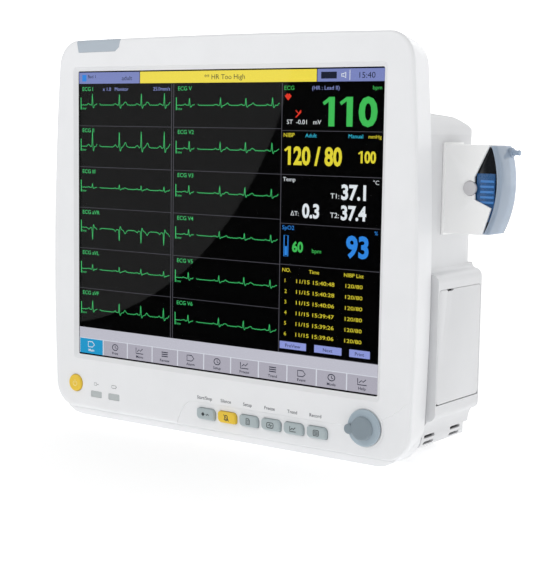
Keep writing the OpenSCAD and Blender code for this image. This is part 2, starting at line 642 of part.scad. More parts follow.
front_bezel();
screen_back();
rear_cover();
front_foot();
rubber_feet();
base_plate();
touch_glass();
screen_gasket();
lcd_module();
keypad_mat();
key_board();
key_power();
key_1();
key_2();
key_3();
key_4();
key_5();
key_6();
encoder();
push_stem();
knob_shaft();
knob();
alarm_lens();
alarm_board();
led_windows();
chassis();
main_board();
parameter_board();
power_supply();
battery_pack();
battery_tray();
battery_door();
nibp_pump();
nibp_manifold();
gas_bench();
trap_holder();
trap_receptacle();
trap_body();
trap_cover();
trap_release();
speaker();
fan_frame();
fan_rotor();
side_panel();
socket_ecg();
socket_spo2();
sockets_temp();
socket_nibp();
mains_inlet();
ground_stud();
network_port();
usb_port();
cover_screws();
mount_inserts();
recorder_frame();
print_head();
paper_roll();
platen_roller();
recorder_door();
door_latch();
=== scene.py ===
"""Patient monitor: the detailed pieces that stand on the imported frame."""
import math

import bmesh
import bpy
from mathutils import Matrix, Vector


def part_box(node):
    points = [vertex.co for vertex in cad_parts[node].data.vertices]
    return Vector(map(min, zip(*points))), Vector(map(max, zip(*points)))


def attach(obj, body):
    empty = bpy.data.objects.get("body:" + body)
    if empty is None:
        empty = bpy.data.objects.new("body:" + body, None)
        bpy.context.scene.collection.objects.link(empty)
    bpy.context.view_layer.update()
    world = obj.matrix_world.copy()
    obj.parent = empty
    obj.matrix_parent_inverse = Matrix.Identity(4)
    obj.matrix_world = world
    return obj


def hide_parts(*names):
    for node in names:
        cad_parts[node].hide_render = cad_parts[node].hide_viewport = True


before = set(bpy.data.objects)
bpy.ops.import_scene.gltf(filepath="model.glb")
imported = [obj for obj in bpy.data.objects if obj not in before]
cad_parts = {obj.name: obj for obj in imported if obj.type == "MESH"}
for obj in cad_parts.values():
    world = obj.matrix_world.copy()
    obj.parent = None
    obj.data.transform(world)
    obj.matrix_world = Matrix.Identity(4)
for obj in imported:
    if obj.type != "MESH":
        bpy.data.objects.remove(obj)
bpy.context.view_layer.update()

bl_info = {
    "name": "Patient Monitor",
    "version": (1, 0, 0),
    "blender": (4, 5, 0),
    "location": "View3D > Sidebar > Monitor",
    "description": "Builds the pieces and finishes of a bedside patient monitor around its frame",
    "category": "Object",
}

MM = 0.001
# The front plane lies this far in front of the frame's origin, in millimetres
PLATE_Y = 65.0
SCREEN_W = 337.9
SCREEN_H = 270.3
SCREEN_Z = 60.5
BEZEL_X = 2.3
BEZEL_Z0 = 6.5
BEZEL_Z1 = 362.1
BELLY_Z = 140.5
WALL = 3.0
KEY_X0 = -8.7
KEY_PITCH = 24.3
KEY_Z = 21.2
POWER = (-171.3, 30.8)
KNOB = (160.5, 32.2)
LED_X = (-144.8, -122.0)
LED_Z = 22.3
HOLDER_Z0 = 195.0
TRAP_X = 158.5
TRAP_Z = 237.3
TRAP_R = 85.8
# The bezel's sides close in by this much at its top, and its top edge falls this much to the corners
BOW_IN = 10.0
BOW_HALF = 203.5
CROWN = 1.6
# The display's graphics lie in the recess between the panel's face and the glass
FACE_Y = 5.86
LEVEL = 0.06
GLASS_Y = 3.6
# The picture is drawn a little wider than the lit area and to its left
PICTURE_STRETCH = 1.007
PICTURE_SHIFT = 1.0
WAVE_TOP = 0.041
WAVE_ROW = 0.1445
TILES_TOP = 0.944
SCREW_HEAD_R = 3.4
SCREW_HEAD_H = 3.1


def place(x, y, z):
    """A point of the frame, in metres, from millimetres behind the front plane."""
    return Vector((x * MM, (y - PLATE_Y) * MM, z * MM))


def tone(red, green, blue):
    """A linear colour from the three values of a paint chart, 0 to 255."""
    return tuple((c / 255 / 12.92) if c < 11 else ((c / 255 + 0.055) / 1.055) ** 2.4
                 for c in (red, green, blue))


# ---------------------------------------------------------------- sizes and colours

class MonitorSizes(bpy.types.PropertyGroup):
    """Sizes of the pieces that give the front its shape."""
    bezel_w: bpy.props.FloatProperty(name="Bezel width", description="Width of the bezel at its belly",
                                     default=0.407, unit="LENGTH")
    corner_r: bpy.props.FloatProperty(name="Corner radius", description="Radius of the bezel's corners",
                                      default=0.022, unit="LENGTH")
    step: bpy.props.FloatProperty(name="Key panel step", description="How deep the key panel lies",
                                  default=0.0007, unit="LENGTH")
    key_w: bpy.props.FloatProperty(name="Key width", description="Width of a soft key",
                                   default=0.020, unit="LENGTH")
    key_h: bpy.props.FloatProperty(name="Key height", description="Height of a soft key",
                                   default=0.010, unit="LENGTH")
    knob_d: bpy.props.FloatProperty(name="Knob diameter", description="Diameter of the rotary knob",
                                    default=0.032, unit="LENGTH")


def colour_property(label, description, chart):
    """A colour of the panel, as the chart gives it."""
    return bpy.props.FloatVectorProperty(name=label, description=description, subtype="COLOR",
                                         default=tone(*chart), min=0.0, max=1.0)


class MonitorColours(bpy.types.PropertyGroup):
    """Colours of the outer finishes."""
    shell: colour_property("Shell", "Moulded housing and bezel", (238, 239, 241))
    key: colour_property("Keys", "Soft keys", (176, 188, 191))
    accent: colour_property("Accent", "Power key and silence key", (240, 202, 60))
    knob: colour_property("Knob", "Rotary knob", (138, 151, 160))
    insert: colour_property("Trap insert", "Ribbed grip of the water trap", (45, 94, 147))


# ---------------------------------------------------------------- finishes

class Value:
    """A number that varies over a surface; an expression on it adds its Math nodes."""

    def __init__(self, tree, socket):
        self.tree = tree
        self.socket = socket

    def join(self, operation, first, second):
        node = self.tree.nodes.new("ShaderNodeMath")
        node.operation = operation
        for place_in, item in enumerate((first, second)):
            if isinstance(item, Value):
                self.tree.links.new(item.socket, node.inputs[place_in])
            else:
                node.inputs[place_in].default_value = item
        return Value(self.tree, node.outputs[0])

    def __add__(self, other):
        return self.join("ADD", self, other)

    def __radd__(self, other):
        return self.join("ADD", other, self)

    def __rsub__(self, other):
        return self.join("SUBTRACT", other, self)

    def __mul__(self, other):
        return self.join("MULTIPLY", self, other)

    def __gt__(self, other):
        return self.join("GREATER_THAN", self, other)


class Finish:
    """A material and its nodes."""

    def __init__(self, name):
        self.material = bpy.data.materials.new(name)
        self.material.use_nodes = True
        self.tree = self.material.node_tree
        self.tree.nodes.clear()
        self.coordinates = self.node("ShaderNodeTexCoord").outputs["Object"]

    def node(self, kind, settings=None, values=None):
        """Adds a node: its settings first, then the values or links of its sockets."""
        made = self.tree.nodes.new(kind)
        for key, setting in (settings or {}).items():
            setattr(made, key, setting)
        for key, item in (values or {}).items():
            if isinstance(item, Value):
                item = item.socket
            if isinstance(item, bpy.types.NodeSocket):
                self.tree.links.new(item, made.inputs[key])
            else:
                made.inputs[key].default_value = item
        return made

    def noise(self, scale, detail=2.0, stretch=(1, 1, 1)):
        spot = self.node("ShaderNodeMapping", values={"Vector": self.coordinates, "Scale": stretch})
        made = self.node("ShaderNodeTexNoise", values={"Vector": spot.outputs[0], "Scale": scale,
                                                       "Detail": detail})
        return Value(self.tree, made.outputs["Fac"])

    def blend(self, share, first, second):
        """A colour between two, by share."""
        return self.node("ShaderNodeMix", {"data_type": "RGBA"}, {0: share, 6: first, 7: second}).outputs[2]

    def bump(self, height, strength, distance):
        return self.node("ShaderNodeBump", values={"Height": height, "Strength": strength,
                                                   "Distance": distance}).outputs[0]

    def surface(self, values):
        """Ends the material in a Principled shader."""
        shader = self.node("ShaderNodeBsdfPrincipled", values=values)
        self.end(shader.outputs[0])
        return self.material

    def end(self, socket):
        self.node("ShaderNodeOutputMaterial", values={"Surface": socket})


def shade(colour, factor):
    return tuple(min(1.0, c * factor) for c in colour[:3]) + (1.0,)


def moulded(name, colour, rough=0.42, grain=0.05, coat=0.0, grain_scale=3200.0):
    """Injection-moulded plastic: a fine spark-eroded grain and slightly uneven gloss."""
    made = Finish(name)
    mottle = made.noise(38.0, 3.0)
    speck = made.noise(900.0, 2.0)
    colours = made.blend(mottle, shade(colour, 0.965), shade(colour, 1.02))
    return made.surface({"Base Color": colours, "Roughness": rough - 0.06 + speck * 0.12,
                         "Coat Weight": coat, "Coat Roughness": 0.12,
                         "Normal": made.bump(made.noise(grain_scale), grain, 0.0002)})


def rubber(name, colour):
    """Matt rubber with a chalky bloom."""
    made = Finish(name)
    bloom = made.noise(160.0, 4.0)
    return made.surface({"Base Color": made.blend(bloom, shade(colour, 0.8), shade(colour, 1.5)),
                         "Roughness": 0.72 + bloom * 0.18,
                         "Normal": made.bump(made.noise(1400.0, 3.0), 0.16, 0.0003)})


def metal(name, colour, rough, stretch=(1, 1, 1)):
    """Plated or cast metal; a stretched grain reads as brushing."""
    made = Finish(name)
    streak = made.noise(700.0, 3.0, stretch)
    patch = made.noise(45.0, 2.0)
    return made.surface({"Base Color": made.blend(patch, shade(colour, 0.88), shade(colour, 1.05)),
                         "Metallic": 1.0, "Roughness": rough - 0.08 + streak * 0.16,
                         "Normal": made.bump(streak, 0.06, 0.0002)})


def board(name):
    """Solder mask over copper: tracks, pads and fine glass weave."""
    made = Finish(name)
    tracks = made.node("ShaderNodeTexBrick", {"offset": 0.5}, {
        "Vector": made.coordinates, "Scale": 260.0, "Mortar Size": 0.09, "Mortar Smooth": 0.2,
        "Brick Width": 1.4, "Row Height": 0.42})
    track = Value(made.tree, tracks.outputs["Fac"])
    dots = made.node("ShaderNodeTexVoronoi", values={"Vector": made.coordinates, "Scale": 330.0})
    pad = 1.0 - (Value(made.tree, dots.outputs["Distance"]) > 0.16)
    mask = made.blend(track, (0.006, 0.09, 0.035, 1), (0.02, 0.2, 0.08, 1))
    return made.surface({"Base Color": made.blend(pad, mask, (0.75, 0.72, 0.6, 1)),
                         "Roughness": 0.34 + pad * 0.1,
                         "Normal": made.bump(track + pad, 0.2, 0.0001)})


def tinted(name, colour, see_through, rough=0.08):
    """Clear or smoked plastic that shows what lies behind it."""
    made = Finish(name)
    cloud = made.noise(90.0, 3.0)
    solid = made.node("ShaderNodeBsdfPrincipled", values={
        "Base Color": made.blend(cloud, shade(colour, 0.94), shade(colour, 1.05)),
        "Roughness": rough + cloud * 0.05, "Coat Weight": 0.4, "Coat Roughness": 0.05,
        "Normal": made.bump(made.noise(300.0), 0.03, 0.0002)})
    clear = made.node("ShaderNodeBsdfTransparent", values={"Color": shade(colour, 1.3)})
    share = see_through - 0.05 + cloud * 0.1
    mixed = made.node("ShaderNodeMixShader", values={0: share, 1: solid.outputs[0], 2: clear.outputs[0]})
    made.end(mixed.outputs[0])
    return made.material


def screen_glass(name):
    """Touch glass: a clear pane with a mirror's gloss and a trace of handling."""
    made = Finish(name)
    smear = made.noise(14.0, 3.0)
    return made.surface({"Base Color": (0.93, 0.95, 0.96, 1), "Transmission Weight": 1.0, "IOR": 1.5,
                         "Roughness": smear * 0.02,
                         "Normal": made.bump(made.noise(60.0), 0.004, 0.0002)})


def glow(name, colour):
    """A lit patch of the display, with the panel's fine cell pattern."""
    made = Finish(name)
    cell = made.node("ShaderNodeTexBrick", {"offset": 0.0}, {
        "Vector": made.node("ShaderNodeVectorRotate", {"rotation_type": "X_AXIS"}, {
            "Vector": made.coordinates, "Angle": math.pi / 2}).outputs[0],
        "Scale": 3788.0, "Mortar Size": 0.02, "Brick Width": 1.0, "Row Height": 1.0})
    lit = made.blend(Value(made.tree, cell.outputs["Fac"]), shade(colour, 1.0), shade(colour, 0.9))
    return made.surface({"Base Color": shade(colour, 0.03), "Roughness": 0.9, "Specular IOR Level": 0.0,
                         "Emission Color": lit, "Emission Strength": 1.0})


def unlit(name, colour):
    """The display's dark cells, which swallow nearly all light."""
    made = Finish(name)
    cell = made.noise(1500.0)
    return made.surface({"Base Color": made.blend(cell, shade(colour, 0.7), shade(colour, 1.3)),
                         "Specular IOR Level": 0.0, "Roughness": 0.9 + cell * 0.1})


def thermal_paper(name):
    """Coated paper, wound into a roll."""
    made = Finish(name)
    fibre = made.noise(500.0, 4.0, (1, 0.1, 1))
    return made.surface({"Base Color": made.blend(fibre, (0.8, 0.8, 0.77, 1), (0.92, 0.92, 0.9, 1)),
                         "Roughness": 0.5 + fibre * 0.2,
                         "Normal": made.bump(fibre, 0.12, 0.0002)})


FINISHES = {}


def make_finishes(colours):
    """Every finish that the pieces share."""
    shell = tuple(colours.shell)
    FINISHES.update({
        "shell": moulded("white_shell", shell, 0.4, 0.05),
        # The housing's sides and back take the shell colour darkened as painted shade, with a coarser grain
        # and a duller gloss of their own
        "shell_side": moulded("white_shell_textured_painted_shade", shade(shell, 0.88), 0.48, 0.12, grain_scale=2400.0),
        # The module holder takes the shell colour painted lighter, as painted light that makes up for the
        # shade of its recess
        "holder": moulded("white_module_painted_light", shade(shell, 1.16), 0.3, 0.03, 0.2),
        "key": moulded("key_grey", tuple(colours.key), 0.5, 0.05),
        "accent": moulded("key_yellow", tuple(colours.accent), 0.48, 0.05),
        "power_sign": moulded("power_sign", tone(250, 230, 150), 0.5, 0.02),
        "knob": moulded("knob_grey", tuple(colours.knob), 0.36, 0.04, 0.15),
        "knob_skirt": moulded("knob_skirt", shade(tuple(colours.knob), 1.5), 0.34, 0.04, 0.15),
        "button": moulded("button_grey", tone(206, 205, 208), 0.4),
        "panel": moulded("panel_grey", tone(190, 194, 200), 0.45, 0.08),
        "print": moulded("label_grey", tone(92, 96, 102), 0.6, 0.02),
        "icon": moulded("icon_dark", tone(52, 58, 62), 0.6, 0.02),
        "lens": tinted("alarm_lens", tone(192, 202, 212), 0.12, 0.16),
        "led": tinted("led_window", tone(198, 204, 205), 0.1, 0.2),
        "trap_black": moulded("trap_black", (0.012, 0.013, 0.016), 0.16, 0.02, 0.6),
        "trap_blue": moulded("trap_blue", tuple(colours.insert), 0.28, 0.03, 0.4),
        # The ribs take the insert blue much lighter: clear plastic, and partly a painted highlight on their
        # rounded tops
        "trap_ribs": moulded("trap_ribs", shade(tuple(colours.insert), 2.1), 0.2, 0.02, 0.5),
        "trap_clear": tinted("trap_clear", tone(178, 192, 208), 0.3, 0.1),
        "black": moulded("black_plastic", (0.022, 0.022, 0.025), 0.44, 0.1),
        "green": moulded("socket_green", tone(60, 130, 84), 0.4, 0.05),
        "blue": moulded("socket_blue", tone(56, 98, 172), 0.4, 0.05),
        "brown": moulded("socket_brown", tone(128, 100, 74), 0.4, 0.05),
        "manifold": moulded("manifold_plastic", tone(214, 212, 200), 0.42, 0.06),
        "wrap": moulded("battery_wrap", tone(42, 62, 96), 0.3, 0.03, 0.3),
        "panel_dark": unlit("display_panel", (0.006, 0.006, 0.007)),
        "rubber": rubber("rubber", (0.03, 0.03, 0.032)),
        "silicone": rubber("keypad_silicone", tone(196, 200, 202)),
        "steel": metal("zinc_plated_steel", (0.62, 0.63, 0.65), 0.34, (1, 1, 0.08)),
        "turned": metal("turned_steel", (0.7, 0.71, 0.73), 0.24, (0.1, 1, 0.1)),
        "cast": metal("anodised_aluminium", (0.32, 0.32, 0.34), 0.4),
        "brass": metal("brass", (0.78, 0.56, 0.24), 0.3, (1, 0.1, 1)),
        "board": board("circuit_board"),
        "glass": screen_glass("screen_glass"),
        "paper": thermal_paper("thermal_paper"),
    })


# ---------------------------------------------------------------- shapes

def arc(cx, cy, r, start, steps=8):
    """A quarter turn, counter-clockwise from an angle in degrees."""
    return [(cx + r * math.cos(math.radians(start + 90 * i / steps)),
             cy + r * math.sin(math.radians(start + 90 * i / steps))) for i in range(steps + 1)]


def rrect(cx, cy, w, h, radii, steps=8):
    """Rounded rectangle; radii run top right, top left, bottom left, bottom right."""
    q = radii if isinstance(radii, (tuple, list)) else (radii,) * 4
    x, y = w / 2, h / 2
    return (arc(cx + x - q[0], cy + y - q[0], q[0], 0, steps)
            + arc(cx - x + q[1], cy + y - q[1], q[1], 90, steps)
            + arc(cx - x + q[2], cy - y + q[2], q[2], 180, steps)
            + arc(cx + x - q[3], cy - y + q[3], q[3], 270, steps))


def circle(cx, cy, r, steps=48):
    return [(cx + r * math.cos(math.tau * i / steps), cy + r * math.sin(math.tau * i / steps))
            for i in range(steps)]


def mesh_object(name, points, faces):
    mesh = bpy.data.meshes.new(name)
    mesh.from_pydata(points, [], faces)
    made = bpy.data.objects.new(name, mesh)
    bpy.context.scene.collection.objects.link(made)
    return made


def outward(piece, merge=1e-6):
    """Merges doubled points and turns every face outwards."""
    work = bmesh.new()
    work.from_mesh(piece.data)
    bmesh.ops.remove_doubles(work, verts=work.verts, dist=merge)
    bmesh.ops.recalc_face_normals(work, faces=work.faces)
    work.to_mesh(piece.data)
    work.free()
    return piece


def loft(name, rings):
    """A closed body through rings of equally many points, each ring a list of vectors."""
    count = len(rings[0])
    points = [p for ring in rings for p in ring]
    faces = [tuple(range(count)), tuple(range(len(points) - count, len(points)))]
    for level in range(len(rings) - 1):
        low = level * count
        for i in range(count):
            j = (i + 1) % count
            faces.append((low + i, low + j, low + count + j, low + count + i))
    return outward(mesh_object(name, points, faces))


def deep(name, outline, y0, y1):
    """An outline in X and Z given depth along Y."""
    return loft(name, [[place(x, y, z) for x, z in outline] for y in (y0, y1)])


def across(name, outline, x0, x1):
    """An outline in Y and Z given thickness along X."""
    return loft(name, [[place(x, y, z) for y, z in outline] for x in (x0, x1)])


def block(name, x0, x1, y0, y1, z0, z1):
    return deep(name, [(x0, z0), (x1, z0), (x1, z1), (x0, z1)], y0, y1)


def lathe(name, profile, centre, axis="Y", steps=72):
    """Turns a profile of (radius, position along the axis) about an axis through centre."""
    cx, cy, cz = centre
    rings = []
    for r, along in profile:
        ring = []
        for i in range(steps):
            a, b = r * math.cos(math.tau * i / steps), r * math.sin(math.tau * i / steps)
            spot = {"Y": (cx + a, cy + along, cz + b), "X": (cx + along, cy + a, cz + b),
                    "Z": (cx + a, cy + b, cz + along)}[axis]
            ring.append(place(*spot))
        rings.append(ring)
    return loft(name, rings)


def apply_modifiers(piece):
    """Makes the evaluated shape the piece's own mesh."""
    graph = bpy.context.evaluated_depsgraph_get()
    result = bpy.data.meshes.new_from_object(piece.evaluated_get(graph))
    piece.modifiers.clear()
    piece.data = result
    return piece


def combine(piece, operation, others):
    """Cuts others from the piece, joins them to it, or keeps what they share."""
    for other in others:
        step = piece.modifiers.new("shape", "BOOLEAN")
        step.operation = operation
        step.solver = "EXACT"
        step.object = other
    apply_modifiers(piece)
    for other in others:
        bpy.data.objects.remove(other)
    return piece


def eased(piece, width, segments=2, angle=40.0):
    """Rounds the piece's sharp edges; width in millimetres."""
    step = piece.modifiers.new("edge", "BEVEL")
    step.width = width * MM
    step.segments = segments
    step.limit_method = "ANGLE"
    step.angle_limit = math.radians(angle)
    return apply_modifiers(piece)


def smoothed(piece, angle=32.0):
    piece.data.shade_smooth()
    piece.data.set_sharp_from_angle(angle=math.radians(angle))
    return piece


def joined(name, parts):
    """Gathers parts into one piece, as they lie; its materials stay apart."""
    points, faces, owners, finishes = [], [], [], []
    for part in parts:
        start = len(points)
        points += [v.co.copy() for v in part.data.vertices]
        for slot in part.data.materials:
            if slot not in finishes:
                finishes.append(slot)
        for face in part.data.polygons:
            faces.append(tuple(start + i for i in face.vertices))
            has = len(part.data.materials) > 0
            owners.append(finishes.index(part.data.materials[face.material_index]) if has else 0)
    made = mesh_object(name, points, faces)
    for finish in finishes:
        made.data.materials.append(finish)
    for face, owner in zip(made.data.polygons, owners):
        face.material_index = owner
    for part in parts:
        bpy.data.objects.remove(part)
    return made


def painted(piece, finish):
    piece.data.materials.clear()
    piece.data.materials.append(FINISHES[finish])
    return piece


def add(piece, body, slot, *nodes):
    """Puts a finished piece on its body, in place of its nodes; the slot is not used."""
    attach(piece, body)
    if nodes:
        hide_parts(*nodes)
    return piece


def traced_copy(node, name):
    """A merged copy of a node's mesh, with its flat faces whole."""
    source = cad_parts[node]
    piece = bpy.data.objects.new(name, source.data.copy())
    bpy.context.scene.collection.objects.link(piece)
    work = bmesh.new()
    work.from_mesh(piece.data)
    bmesh.ops.remove_doubles(work, verts=work.verts, dist=2e-6)
    bmesh.ops.dissolve_limit(work, angle_limit=math.radians(0.6), verts=work.verts, edges=work.edges)
    work.to_mesh(piece.data)
    work.free()
    piece.data.materials.clear()
    return piece


def wire(tree, *links):
    """Joins pairs of an output and an input."""
    for source, target in links:
        tree.links.new(source, target)


def node_group(name, inputs):
    """A geometry node group: the group, its input node and each input's key."""
    tree = bpy.data.node_groups.new(name, "GeometryNodeTree")
    keys = {}
    for label, kind, value in inputs:
        made = tree.interface.new_socket(label, in_out="INPUT", socket_type=kind)
        made.default_value = value
        keys[label] = made.identifier
    tree.interface.new_socket("Geometry", in_out="OUTPUT", socket_type="NodeSocketGeometry")
    return tree, tree.nodes.new("NodeGroupInput"), keys


def instances(tree, points, shape, turn, finish):
    """Sets a shape on points, makes it real, gives it its finish and ends the group."""
    spread = tree.nodes.new("GeometryNodeInstanceOnPoints")
    spread.inputs["Rotation"].default_value = turn
    real = tree.nodes.new("GeometryNodeRealizeInstances")
    coated = tree.nodes.new("GeometryNodeSetMaterial")
    coated.inputs["Material"].default_value = FINISHES[finish]
    end = tree.nodes.new("NodeGroupOutput")
    wire(tree, (points, spread.inputs["Points"]), (shape, spread.inputs["Instance"]),
         (spread.outputs[0], real.inputs[0]), (real.outputs[0], coated.inputs["Geometry"]),
         (coated.outputs[0], end.inputs[0]))


def grown(name, tree, settings):
    """The shape that a geometry node group makes."""
    made = mesh_object(name, [Vector((0, 0, 0))], [])
    step = made.modifiers.new(name, "NODES")
    step.node_group = tree
    for key, value in settings.items():
        step[key] = value
    return apply_modifiers(made)


def softened(node, name, width, finish, body, slot, segments=2):
    """A node's own shape with its moulded edges rounded, standing for the node."""
    piece = smoothed(eased(traced_copy(node, name), width, segments), 35.0)
    return add(painted(piece, finish), body, slot, node)


# ---------------------------------------------------------------- bezel and front

def bow(z):
    """How far the sides close in above and below the belly."""
    return 1 - BOW_IN / BOW_HALF * ((z - BELLY_Z) / (BEZEL_Z1 - BELLY_Z)) ** 2


def bezel_outline(sizes, inset, steps=10):
    """The bezel from the front, its sides bowed and its top crowned."""
    half = sizes.bezel_w / MM / 2
    w, r = half - inset, sizes.corner_r / MM
    z0, z1 = BEZEL_Z0 + inset, BEZEL_Z1 - inset
    side = [i / 24 for i in range(1, 24)]
    raw = arc(w - r, z1 - r, r, 0, steps) + [((w - r) * (1 - 2 * t), z1) for t in side]
    raw += arc(r - w, z1 - r, r, 90, steps) + [(-w, z1 - r - t * (z1 - z0 - 2 * r)) for t in side]
    raw += arc(r - w, z0 + r, r, 180, steps) + [((r - w) * (1 - 2 * t), z0) for t in side]
    raw += arc(w - r, z0 + r, r, 270, steps) + [(w, z0 + r + t * (z1 - z0 - 2 * r)) for t in side]
    return [(BEZEL_X + x * bow(z), z - (CROWN * (x / half) ** 2 if z > BELLY_Z else 0)) for x, z in raw]


def bezel_body(sizes, name, skin):
    """A solid through the bezel's outline at pairs of depth and inset."""
    return loft(name, [[place(x, y, z) for x, z in bezel_outline(sizes, inset)] for y, inset in skin])


def outer_skin(sizes, name):
    """The bezel's rounded outer form, filled."""
    return bezel_body(sizes, name, [(34, 6.2), (33.8, 5.2), (33.2, 4.6), (24, 3.15), (14, 1.65), (5, 0.25),
                                    (3.2, 0.02), (2.2, 0.12), (1.35, 0.5), (0.7, 1.2), (0.3, 2.1),
                                    (0.08, 3.2), (0, 4.4), (0, 6.0)])


def inner_hollow(sizes, name):
    return bezel_body(sizes, name, [(3, WALL), (36, 7.7)])


def lens_outline(gap):
    return [(-172 - gap, 372), (-167 - gap, 349.3 - gap), (-121 + gap, 349.8 - gap),
            (-116 + gap, 353.5), (-112.1 + gap, 372)]


def key_outline(sizes, x, grow):
    w, h = sizes.key_w / MM + 2 * grow, sizes.key_h / MM + 2 * grow
    return rrect(x, KEY_Z, w, h, [max(0.3, r + grow) for r in (4, 2, 4, 2)], 6)


def key_panel_edge():
    """The line where the front steps down to the key panel, left to right."""
    line = [(-44, 4), (-44.0, 7.5), (-42.4, 12), (-40, 17.5), (-37.8, 21.6), (-35.5, 24.9), (-32.8, 28),
            (-29.6, 30.3), (-25, 31), (-19.3, 31)]
    line += [(-10 + 15 * i, 31) for i in range(10)]
    line += [(140, 31.4), (152, 33.0), (164, 36.0), (176, 40.6), (187, 46.6), (197, 54), (208, 63.5)]
    return line


def build_bezel(sizes):
    """Bezel with its reveal, key panel, openings and lens seat."""
    bezel = combine(outer_skin(sizes, "bezel"), "DIFFERENCE", [inner_hollow(sizes, "hollow")])
    middle = SCREEN_Z + SCREEN_H / 2
    reveal = loft("reveal", [[place(x, y, z) for x, z in rrect(0, middle, SCREEN_W + g, SCREEN_H + g, r, 4)]
                             for y, g, r in ((-0.6, 11.5, 4), (0.35, 9.4, 3.2), (3.1, 2, 1.5), (4, 1.4, 1))])
    step = sizes.step / MM
    edge = key_panel_edge()
    panel = loft("panel", [[place(x, y, z + g) for x, z in edge] + [place(214, y, 63), place(214, y, 0),
                                                                    place(-44, y, 0)]
                           for y, g in ((-1, 1.2), (step, 0.0))])
    holes = [deep("hole", key_outline(sizes, KEY_X0 + i * KEY_PITCH, 0.45), -2, 5) for i in range(6)]
    holes.append(lathe("hole", [(8.7, -2), (8.7, 5)], (POWER[0], 0, POWER[1])))
    holes.append(lathe("hole", [(6, -2), (6, 5)], (KNOB[0], 0, KNOB[1])))
    holes += [deep("hole", rrect(x, LED_Z, 14.2, 6.2, 1.1, 4), -2, 5) for x in LED_X]
    holes.append(deep("hole", lens_outline(0.12), -2, 10.2))
    combine(bezel, "DIFFERENCE", [reveal, panel])
    combine(bezel, "DIFFERENCE", holes)
    add(painted(smoothed(outward(bezel), 28), "shell"), "housing", "white_shell", "front_bezel")
    ring = lathe("knob_seat", [(17.6, 0.4), (17.6, -0.5), (17.1, -0.95), (16.2, -1.0), (15.6, -0.6),
                               (15.4, 0.4)], (KNOB[0], step, KNOB[1]))
    hole = lathe("core", [(15.5, -3), (15.5, 3)], (KNOB[0], 0, KNOB[1]))
    add(painted(smoothed(combine(ring, "DIFFERENCE", [hole]), 40), "shell"), "housing", "white_shell")


def build_lens(sizes):
    """Alarm lens in the top left corner, with the reflector block behind it."""
    lens = combine(outer_skin(sizes, "alarm_lens_cap"), "DIFFERENCE", [inner_hollow(sizes, "hollow")])
    combine(lens, "INTERSECT", [deep("trim", lens_outline(0), -2, 10)])
    add(painted(smoothed(outward(lens), 28), "lens"), "housing", "alarm_lens", "alarm_lens")
    outline = [(-160, 351.6), (-120, 351.6), (-118, 356.8), (-160, 356.0)]
    bar = eased(deep("alarm_reflector", outline, 3.6, 8.4), 0.5)
    # The reflector block takes the shell colour painted lighter, as painted light
    add(painted(smoothed(bar), "holder"), "housing", "white_shell")


def build_led_windows():
    windows = []
    for x in LED_X:
        rings = [(3.5, 0), (0.5, 0), (0.15, 0.15), (0.0, 0.5)]
        windows.append(loft("window", [[place(a, y, b) for a, b in rrect(x, LED_Z, 14 - 2 * g, 6 - 2 * g,
                                                                         1 - g * 0.6, 5)] for y, g in rings]))
    add(painted(smoothed(joined("led_lenses", windows)), "led"), "housing", "led_window", "led_windows")


class MONITOR_OT_front(bpy.types.Operator):
    """Build the bezel, its alarm lens, the status windows and the front rail"""
    bl_idname = "monitor.front"
    bl_label = "Front"

    def execute(self, context):
        sizes = context.scene.monitor_sizes
        build_bezel(sizes)
        build_lens(sizes)
        build_led_windows()
        softened("front_foot", "front_rail", 0.6, "shell", "housing", "white_shell", 3)
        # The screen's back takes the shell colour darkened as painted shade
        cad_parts["screen_back"].data.materials[0] = FINISHES["shell_side"]
        return {"FINISHED"}


# ---------------------------------------------------------------- strokes and text

def ribbon(name, points, width, y, thick=0.05, closed=False):
    """A flat line through points in X and Z, with a little thickness."""
    rails = [[], []]
    last = len(points) - 1
    for i, spot in enumerate(points):
        before = points[i - 1] if i else (points[last] if closed else spot)
        after = points[i + 1] if i < last else (points[0] if closed else spot)
        dx, dz = after[0] - before[0], after[1] - before[1]
        span = math.hypot(dx, dz) or 1.0
        nx, nz = -dz / span * width / 2, dx / span * width / 2
        rails[0].append((spot[0] + nx, spot[1] + nz))
        rails[1].append((spot[0] - nx, spot[1] - nz))
    corners = []
    for i in range(len(points)):
        corners += [place(rails[0][i][0], y, rails[0][i][1]), place(rails[1][i][0], y, rails[1][i][1]),
                    place(rails[1][i][0], y + thick, rails[1][i][1]),
                    place(rails[0][i][0], y + thick, rails[0][i][1])]
    faces = []
    spans = len(points) if closed else last
    for i in range(spans):
        low, high = 4 * i, 4 * ((i + 1) % len(points))
        for k in range(4):
            n = (k + 1) % 4
            faces.append((low + k, low + n, high + n, high + k))
    if not closed:
        faces += [(3, 2, 1, 0), tuple(4 * last + k for k in range(4))]
    return outward(mesh_object(name, corners, faces), 1e-8)


